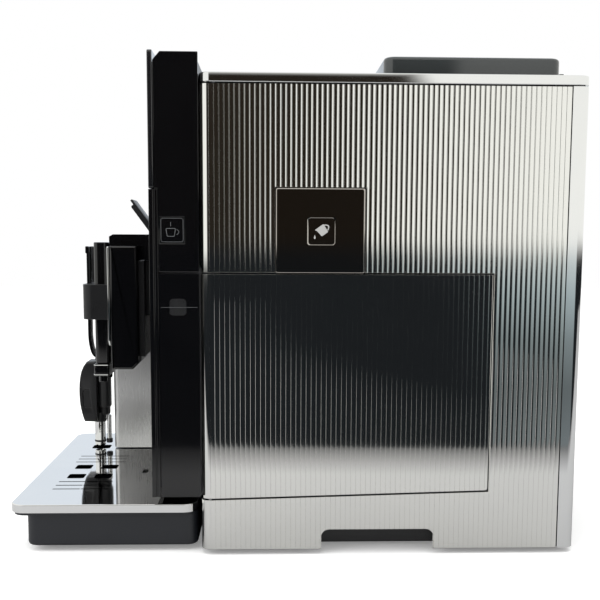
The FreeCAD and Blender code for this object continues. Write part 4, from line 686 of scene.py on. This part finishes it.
CUPS, CUP_Z = ((-96, 8), (-58, 11), (-20, 14), (18, 17)), 342
STEAM_X, DOT_Z, LINE_Z = (52, 58, 64), 322, 333
POWER_X, POWER_Z, POWER_R = 118, 352, 4
power_arc = np.radians(np.linspace(125, 415, 24))
power = np.stack([POWER_X + POWER_R * np.cos(power_arc), POWER_Z + POWER_R * np.sin(power_arc)], 1)
swing = 0.9 * np.sin(np.linspace(0, 2 * math.pi, 13))
drawn = [cup_symbol(u, CUP_Z, 5.5, tall) for u, tall in CUPS]
drawn += [ribbon([(u, v) for v in np.linspace(340, 344, 4)], 0.5, "Y", *INK) for u in STEAM_X]
drawn += [ribbon(np.stack([u + swing, np.linspace(346, 358, 13)], 1), 0.5, "Y", *INK) for u in STEAM_X]
drawn += [ribbon(power, 0.6, "Y", *INK),
          ribbon([(POWER_X, POWER_Z + up) for up in (0, 2, 5)], 0.6, "Y", *INK)]
drawn += [ring(circle(u, DOT_Z, 1.1, 16), 0.4, INK, "Y") for u in (-96, -58, -20, 18, 58)]
drawn.append(ribbon([(u, LINE_Z) for u in np.linspace(-110, 70, 7)], 0.25, "Y", *INK))
put("display_symbols", merge(*drawn), "housing", "white_plastic")
print("symbols:", len(drawn))

# %% [markdown]
# ## Steel pillar and hot-water spout
# The pillar is brushed steel with round front corners. In front of it hangs the hot-water spout: a satin pod
# with a round front, held by a slim stem, and under it the two tubes. The pod's near side is a section
# carried from its own outline inward to the outline of the window where the release button sits.

# %% Pillar
pillar = round_polygon([(-132, -182), (-63, -182), (-63, -115.8), (-132, -115.8)],
                       [5.5, 5.5, 0.2, 0.2], 8)
put("pillar_shell", soft_slab(pillar, "Z", 42.4, 196.0, 0.4), "housing", "brushed_steel", ["steel_pillar"])

# %% Hot-water spout
NOZZLE, POD_HALF = -71.0, 13.5
arc = np.linspace(-1, 1, 15)
front = np.stack([-216.0 + 5.0 * np.abs(arc) ** 2.2 + 3.0 * np.clip(arc, 0, 1) ** 6, 102.0 + 31.0 * arc], 1)
pod_side = round_polygon([(-198.0, 70.6), (-198.0, 133.0)] + front[::-1].tolist(),
                         [2.5, 3.0] + [0.02] * len(arc), 3)


def as_window(outline, u0, u1, v0, v1, power=5.0):
    """A window with round corners, whose points lie on the same rays as the outline's: a superellipse,
    (u/a) to the power n plus (v/b) to the power n equals 1."""
    centre = np.array([(u0 + u1) / 2, (v0 + v1) / 2])
    ray = outline - centre
    ray /= np.linalg.norm(ray, axis=1)[:, None]
    reach = np.abs(ray[:, 0] / (u1 - u0) * 2) ** power + np.abs(ray[:, 1] / (v1 - v0) * 2) ** power
    return centre + ray * (reach ** (-1 / power))[:, None]


window = as_window(pod_side, -212.4, -204.1, 85.6, 104.4)
SEAT_DEEP, POD_RIM = 4.7, 1.6
face = NOZZLE + POD_HALF
soft = [(0.10 * (1 - math.cos(t)), face - POD_RIM + POD_RIM * math.sin(t)) for t in QUARTER]
pod_section = [(0.0, face - SEAT_DEEP)] + soft
pod_section += [(0.93, face), (1.0, face - 0.4), (1.0, face - SEAT_DEEP)]
pod_front = between(pod_side, window, pod_section, "X")
pod_core = soft_slab(pod_side, "X", NOZZLE - POD_HALF, face - SEAT_DEEP, POD_RIM)
stem = block(NOZZLE - 8, NOZZLE + 8, -199.5, -185.5, 84, 218, 6, 2.0)
head = block(NOZZLE - 11, NOZZLE + 11, -205, -182.5, 214, 251, 4, 1.5)
WATER_Y, WATER_R, STEAM_Y = -197.5, 5.6, -188.0
collar = turned([(5.6, 68.8), (6.6, 69.3), (6.8, 70.5), (6.8, 79)], NOZZLE, WATER_Y, 0)
neck = turned([(4.6, 76.2), (5.8, 77.0), (6.0, 79), (6.0, 90)], NOZZLE, -192.6, 0)
plug = turned([(6.0, -183.6), (7.0, -182.6), (7.0, -165.4), (6.2, -164.5)], NOZZLE, 0, 232, "Y")
put("water_spout_body", merge(pod_front, pod_core, stem, head, collar, neck, plug), "hot_water_spout",
    "satin_black", ["hot_water_body"])
line = [(0.06, face - 6.3), (0.06, face - 5.9), (-0.5, face - 5.9), (-0.5, face - 6.3)]
split_line = moulding(inset(pod_side, -0.02), line, "X")
put("pod_split", split_line, "hot_water_spout", "rubber")
water = between(circle(NOZZLE, WATER_Y, WATER_R, 40), circle(NOZZLE, WATER_Y, 4.4, 40),
                [(0.0, 68.9), (0.0, 44.6), (0.25, 44.1), (0.8, 44.0), (1.0, 44.4), (1.0, 68.9)], "Z")
steam = turned([(2.4, 50.9), (2.4, 75.9)], NOZZLE, STEAM_Y, 0)
put("water_tube_bright", merge(water, steam), "hot_water_spout", "polished_steel", ["water_tubes"])
tip = turned([(1.2, 46.0), (2.9, 46.3), (3.2, 47.2), (3.2, 50.4), (2.6, 50.95)], NOZZLE, STEAM_Y, 0)
bands = moulding(circle(NOZZLE, WATER_Y, WATER_R, 40),
                 [(0.0, 47.6), (0.35, 47.8), (0.35, 49.4), (0.0, 49.6)], "Z")
put("water_tube_tip", merge(tip, bands), "hot_water_spout", "satin_black")
print("hot-water spout made")

# %% [markdown]
# ## Coffee spout
# The spout is a stack of plates seen from the side: a body with a sloped foot, a thin bright strip, a cover
# with round corners, and in front of them a bar that hooks over at the top and curves in at the foot. Every
# plate is an outline given a thickness, with its rims rounded, because on gloss black only the rims show.

# %% Spout body, cover and strip
SPOUT = 30.4
body = round_polygon([(-161.5, 142.5), (-142.5, 142.5), (-137.5, 147.5), (-137.5, 252.5), (-161.5, 252.5)],
                     [1.0, 1.2, 1.2, 1.5, 1.0], 3)
put("spout_core", soft_slab(body, "X", SPOUT - 31, SPOUT + 31, 1.6), "coffee_spout", "gloss_black",
    ["spout_body"])
cover = block(SPOUT - 20, SPOUT + 20, -177.8, -164.5, 146.5, 255.7, 4.0, 0.8)
put("spout_front", cover, "coffee_spout", "gloss_black", ["spout_cover"])
strip = round_polygon([(SPOUT - 26, 163), (SPOUT + 26, 163), (SPOUT + 30.2, 168), (SPOUT + 30.2, 252),
                       (SPOUT - 30.2, 252), (SPOUT - 30.2, 168)], 1.0, 3)
put("spout_trim", soft_slab(strip, "Y", -163.9, -162.1, 0.5), "coffee_spout", "polished_steel")

# %% Bar, band and outlets
BAR_TOP, BEND, BAR_END = 251.5, 172.5, 150.5    # heights
BAR_FRONT, BAR_BACK, BAR_HALF = -186.6, -184.0, 6
swing = np.linspace(0, 1, 12) * math.pi / 2
drop_by = BEND + (BAR_END - BEND) * np.sin(swing)
outer_line = np.stack([BAR_FRONT + 6.2 * (1 - np.cos(swing)), drop_by], 1)
inner_line = np.stack([BAR_BACK + 6.1 * (1 - np.cos(swing)), drop_by], 1)
bar = np.concatenate([[(BAR_FRONT, BAR_TOP)], outer_line, inner_line[::-1], [(BAR_BACK, BAR_TOP)]])
hook = round_rect(BAR_FRONT - 1, BAR_BACK - 1, BAR_TOP - 6, BAR_TOP + 0.5, 0.8, 3)
foot = block(SPOUT - BAR_HALF, SPOUT + BAR_HALF, -180.6, -177.7, BAR_END - 3, BAR_END + 0.4, 0.5, 0.3)
plates = [soft_slab(side, "X", SPOUT - BAR_HALF, SPOUT + BAR_HALF, 0.5) for side in (bar, hook)]
put("spout_handle", merge(*plates, foot), "coffee_spout", "gloss_black", ["spout_bar"])
outlet = block(SPOUT - 22, SPOUT + 22, -178.8, -165.0, 135.1, 146.1, 2.0, 0.8)
TIP_Y, TIP_R, BORE_R = -172, 3.8, 2.6
tips = [between(circle(SPOUT + s * 13, TIP_Y, TIP_R), circle(SPOUT + s * 13, TIP_Y, BORE_R),
                [(0.0, 140.0), (0.0, 129.6), (0.3, 129.1), (0.7, 129.1), (1.0, 129.6), (1.0, 140.0)], "Z")
        for s in (-1, 1)]
put("spout_outlets", merge(outlet, *tips), "coffee_spout", "gloss_black", ["nozzle_block"])
rim = round_rect(SPOUT - 22, SPOUT + 22, -178.8, -165.0, 2.0)
wire = [(0.0, -0.35), (0.3, -0.25), (0.4, 0.0), (0.3, 0.25), (0.0, 0.35)]
trims = [moulding(rim, [(out, z + up) for out, up in wire], "Z") for z in (136.4, 145.2)]
put("outlet_trims", merge(*trims), "coffee_spout", "polished_steel")
print("coffee spout made")

# %% [markdown]
# ## Hood flap
# The flap over the spout stands open and leans forward. It is drawn upright, as a leaf with a nib at its
# end, and its outline is then turned about the hinge, which keeps the object itself unturned.

# %% Flap
LEAN = math.radians(36.2)
leaf = round_polygon([(-2.4, -1.0), (2.4, -1.0), (2.4, 33.5), (0.5, 33.5), (0.5, 29.0), (-2.4, 29.0)],
                     [1.6, 1.6, 0.5, 0.5, 0.3, 1.4], 4)
HINGE = np.array([-125.5, 265.7])
leaf = tilted(leaf, HINGE, LEAN, 1.0)
knuckle = circle(*HINGE, 2.4, 20)
LEAF_X = (SPOUT - 15, SPOUT + 15)
leaf_shape = merge(soft_slab(leaf, "X", *LEAF_X, 0.5), soft_slab(knuckle, "X", *LEAF_X, 0.3))
put("hood_leaf", leaf_shape, "hood_flap", "flap_face", ["hood_flap"])

# %% [markdown]
# ## Small round parts
# Feet, grind knobs and screws are turned parts: one section carried round an axis.

# %% Feet and knobs
feet = [turned([(8.6, 0.0), (9.6, 0.4), (10.2, 2.0), (11.0, 4.2), (11.0, 4.5)], x, y, 0)
        for x in (-112, 112) for y in (-52, 210)]
put("feet_turned", merge(*feet), "housing", "rubber", ["rubber_feet"])
KNOB_Y, KNOB_R, RIDGES, RIDGE_DEEP = 186, 11.0, 24, 0.35
flank = np.linspace(0, 2 * math.pi, 4 * RIDGES, endpoint=False)
ridge = KNOB_R - RIDGE_DEEP * (0.5 + 0.5 * np.cos(RIDGES * flank))
knurl = np.stack([ridge * np.cos(flank), ridge * np.sin(flank)], 1)
for side, x in (("right", 76.0), ("left", -76.0)):
    rings = [place(knurl * share + (x, KNOB_Y), z, "Z")
             for share, z in ((0.94, 379.2), (1.0, 379.7), (1.0, 383.6), (0.95, 384.2), (0.5, 384.25))]
    grip = block(x - 9.5, x + 9.5, KNOB_Y - 1.5, KNOB_Y + 1.5, 383.2, 388.0, 1.3, 0.6)
    shaft = turned([(3.0, 371.2), (3.0, 379.4)], x, KNOB_Y, 0)
    pointer = block(x + 4.0, x + 8.5, 185.6, 186.4, 387.9, 388.15, 0.3, 0.08)
    put("knob_" + side, merge(loft(np.stack(rings)), grip, shaft), "grind_knob_" + side, "satin_black",
        ["grind_knob_" + side])
    put("knob_mark_" + side, pointer, "grind_knob_" + side, "white_plastic")
print("round parts made")

# %% [markdown]
# ## Button and mark on the column
# The side button carries two plain symbols, a cup outline and a line of steam. Below it a small square is
# pressed into the cover, with one thin line across it.

# %% Button symbols
SIDE_INK = (142.98, 143.16)
cup = round_polygon([(-101.0, 261.0), (-95.4, 261.0), (-94.4, 267.2), (-102.0, 267.2)], 0.8, 3)
handle = np.stack([-93.6 + 1.9 * np.sin(np.linspace(0.1, 3.0, 7)), np.linspace(266.4, 262.4, 7)], 1)
lines = [ring(round_rect(-105.9, -88.4, 256.6, 275.2, 1.6, 4), 0.3, SIDE_INK, "X"),
         ring(cup, 0.45, SIDE_INK, "X"), ribbon(handle, 0.4, "X", *SIDE_INK),
         ribbon([(-98.2, 269.0), (-98.2, 270.5), (-98.2, 272.0)], 0.4, "X", *SIDE_INK)]
put("button_symbol", merge(*lines), "side_button", "flap_grey")
print("button symbol made")

# %% Lower cover with its mark
COVER = round_rect(-108.1, -76, 49, 231.5, 0.8, 5)
pressed = round_rect(-99.8, -86.4, 198.0, 211.3, 3.0, 5)
COVER_X, COVER_BACK = 143.5, 140.0
rows = [(0.0, COVER_BACK), (0.0, COVER_X - 0.4), (0.004, COVER_X - 0.15), (0.012, COVER_X), (0.04, COVER_X),
        (0.97, COVER_X), (0.992, COVER_X), (1.0, COVER_X - 0.1), (1.0, COVER_X - 0.4), (1.0, COVER_BACK)]
cover_plate = between(COVER, pressed, rows, "X")
pressed_floor = soft_slab(inset(pressed, -0.4), "X", COVER_BACK + 0.2, COVER_X - 0.4, 0.05)
put("lower_cover_shell", cover_plate, "housing", "gloss_black", ["lower_cover_right"])
put("mark_floor", pressed_floor, "housing", "flap_face")
line = ribbon([(-106.5, 204.6), (-93.0, 204.6), (-77.6, 204.6)], 0.25, "X", 143.45, 143.56)
put("cover_mark", line, "housing", "flap_grey")
print("symbols made")

# %% [markdown]
# ## The studio
# Polished steel has hardly any look of its own: it shows the room. So the room is designed, by direction
# seen from the machine, with angles from +X towards +Y. Above eye level it is white, apart from a dark
# stretch from about -26 to 10 degrees, which ends some 20 degrees up. Below eye level it is nearly black,
# apart from a blue-grey part between about 16 and 35 degrees. Behind the machine it is pale. Only reflections
# see this room: other light comes from an even pale grey, and the camera sees plain white.

# %% World
world = bpy.data.worlds.new("studio")
scene.world = world
world.use_nodes = True
tree = world.node_tree
link = tree.links.new


def math_node(operation, a, b=None):
    made = tree.nodes.new("ShaderNodeMath")
    made.operation = operation
    for socket, value in zip(made.inputs, (a, b)):
        if value is None:
            continue
        if isinstance(value, (int, float)):
            socket.default_value = value
        else:
            link(value, socket)
    return made.outputs["Value"]


def rise(value, low, high):
    """0 below one angle and 1 above the other, in degrees, with a soft step between."""
    made = tree.nodes.new("ShaderNodeMapRange")
    made.interpolation_type = "SMOOTHSTEP"
    made.inputs["From Min"].default_value = math.radians(low)
    made.inputs["From Max"].default_value = math.radians(high)
    link(value, made.inputs["Value"])
    return made.outputs["Result"]


def mixed(factor, a, b):
    made = tree.nodes.new("ShaderNodeMix")
    made.data_type = "RGBA"
    link(factor, made.inputs["Factor"])
    for key, value in (("A", a), ("B", b)):
        if isinstance(value, tuple):
            made.inputs[key].default_value = (*value, 1)
        else:
            link(value, made.inputs[key])
    return made.outputs["Result"]


WHITE, SHADE = (1.0, 1.0, 0.96), (0.020, 0.016, 0.012)
DUSK, COOL = (0.012, 0.014, 0.016), (0.80, 0.86, 0.93)
EVEN_GREY, CAMERA_WHITE = (0.92, 0.92, 0.92), (1.0, 1.0, 1.0)
direction = tree.nodes.new("ShaderNodeTexCoord").outputs["Generated"]
split = tree.nodes.new("ShaderNodeSeparateXYZ")
link(direction, split.inputs["Vector"])
azimuth = math_node("ARCTAN2", split.outputs["Y"], split.outputs["X"])
elevation = math_node("ARCSINE", split.outputs["Z"])
left_high = math_node("SUBTRACT", 1.0, rise(azimuth, -30, -22))
beyond_left = math_node("MULTIPLY", rise(elevation, -2.5, -0.5), left_high)
upper_side = math_node("MAXIMUM", rise(azimuth, 8.5, 11.5), rise(elevation, 17, 26))
lower_side = math_node("SUBTRACT", rise(azimuth, 13, 19), rise(azimuth, 32, 38))
ramp = tree.nodes.new("ShaderNodeValToRGB")
stops = [(-14, (0.20, 0.23, 0.24)), (-9, (0.13, 0.15, 0.155)), (-6, (0.22, 0.26, 0.27)),
         (-3, (0.42, 0.50, 0.52)), (-1.2, (0.62, 0.68, 0.68)), (0.6, WHITE)]        # degrees and colours
span_low, span_high = -14, 1
while len(ramp.color_ramp.elements) < len(stops):
    ramp.color_ramp.elements.new(0.5)
for element, (angle, colour) in zip(ramp.color_ramp.elements, stops):
    element.position = (angle - span_low) / (span_high - span_low)
    element.color = (*colour, 1)
height = tree.nodes.new("ShaderNodeMapRange")
height.inputs["From Min"].default_value = math.radians(span_low)
height.inputs["From Max"].default_value = math.radians(span_high)
link(elevation, height.inputs["Value"])
link(height.outputs["Result"], ramp.inputs["Fac"])
upper = mixed(upper_side, SHADE, WHITE)
lower = mixed(lower_side, DUSK, ramp.outputs["Color"])
room = mixed(rise(elevation, -1.4, 0.4), lower, upper)
room = mixed(beyond_left, room, WHITE)
behind = rise(math_node("ABSOLUTE", azimuth), 135, 170)
room = mixed(behind, room, COOL)
paths = tree.nodes.new("ShaderNodeLightPath")
room = mixed(paths.outputs["Is Glossy Ray"], EVEN_GREY, room)
room = mixed(paths.outputs["Is Camera Ray"], room, CAMERA_WHITE)
link(room, tree.nodes["Background"].inputs["Color"])
tree.nodes["Background"].inputs["Strength"].default_value = 1.0
scene.view_settings.view_transform = "Standard"

# %% [markdown]
# The floor is a plain pale board. What polished steel sees of it matters as well: where a table ends a
# little way in front of the machine, only the lowest part of the steel is lit from below. So the board is
# made in two parts. The outer one is left out of reflections, and the near one darkens towards its edge in
# them. For the camera alone the board glows a little, so that it runs into the white behind it.

# %% Floor and lights
EDGE_X = 0.53                                      # where the near board ends, in metres
FADE_X, FADE_GREY, GLOW = (0.40, 0.56), (0.47, 0.03), 0.22


def floor_piece(name, x0, x1, y0, y1, seen_in_steel):
    mesh = bpy.data.meshes.new(name)
    mesh.from_pydata([(x0, y0, 0), (x1, y0, 0), (x1, y1, 0), (x0, y1, 0)], [], [(0, 1, 2, 3)])
    mat = bpy.data.materials.new(name)
    mat.use_nodes = True
    shader = mat.node_tree.nodes["Principled BSDF"]
    shader.inputs["Roughness"].default_value = 0.9
    shader.inputs["Specular IOR Level"].default_value = 0.0
    add, join = mat.node_tree.nodes.new, mat.node_tree.links.new
    axes = add("ShaderNodeSeparateXYZ")
    join(add("ShaderNodeTexCoord").outputs["Object"], axes.inputs["Vector"])
    fade = add("ShaderNodeMapRange")
    fade.inputs["From Min"].default_value, fade.inputs["From Max"].default_value = FADE_X
    fade.inputs["To Min"].default_value, fade.inputs["To Max"].default_value = FADE_GREY
    join(axes.outputs["X"], fade.inputs["Value"])
    paint = add("ShaderNodeMix")
    paint.data_type = "RGBA"
    paint.inputs["A"].default_value = (1.0, 1.0, 0.995, 1)
    join(fade.outputs["Result"], paint.inputs["B"])
    join(add("ShaderNodeLightPath").outputs["Is Glossy Ray"], paint.inputs["Factor"])
    join(paint.outputs["Result"], shader.inputs["Base Color"])
    glow = add("ShaderNodeMath")
    glow.operation = "MULTIPLY"
    glow.inputs[1].default_value = GLOW
    join(add("ShaderNodeLightPath").outputs["Is Camera Ray"], glow.inputs[0])
    shader.inputs["Emission Color"].default_value = (1, 1, 1, 1)
    join(glow.outputs["Value"], shader.inputs["Emission Strength"])
    mesh.materials.append(mat)
    obj = bpy.data.objects.new(name, mesh)
    scene.collection.objects.link(obj)
    obj.visible_glossy = seen_in_steel


floor_piece("floor_near", -4.0, EDGE_X, -3.0, 3.0, True)
floor_piece("floor_front", EDGE_X, 5.0, -3.0, 3.0, False)


def softbox(name, place_at, aim, size, power, glossy=False):
    lamp = bpy.data.lights.new(name, "AREA")
    lamp.shape, lamp.size, lamp.size_y, lamp.energy = "RECTANGLE", size[0], size[1], power
    obj = bpy.data.objects.new(name, lamp)
    scene.collection.objects.link(obj)
    way = Vector(aim) - Vector(place_at)
    obj.matrix_world = Matrix.Translation(place_at) @ way.to_track_quat("-Z", "Y").to_matrix().to_4x4()
    obj.visible_glossy = glossy
    obj.visible_camera = False


softbox("overhead", (0.2, -0.2, 1.8), (0, 0, 0.2), (1.8, 1.8), 22)
softbox("front_fill", (0.9, -1.4, 0.9), (0, -0.1, 0.2), (0.9, 0.9), 8)
print("studio ready")

# %% [markdown]
# ## The camera
# It stands at the right-hand side, a little above the middle of the machine, and looks slightly down. The
# picture is shifted up a little, so that there is about the same room above the machine and below it.

# %% Camera
camera = bpy.data.objects.new("camera", bpy.data.cameras.new("camera"))
scene.collection.objects.link(camera)
RIGHT = (0.03180561, 0.99948356, 0.0045841)
UP = (-0.11117425, -0.00102025, 0.99380041)
BACK = (0.99329185, -0.03211806, 0.11108438)
turn = Matrix((RIGHT, UP, BACK)).transposed().to_4x4()
camera.matrix_world = Matrix.Translation((0.86406, -0.01872, 0.25908)) @ turn
camera.data.lens = 54.04
camera.data.sensor_width = 36.0
camera.data.shift_y = 40 / 600
camera.data.clip_start, camera.data.clip_end = 0.01, 50
scene.camera = camera
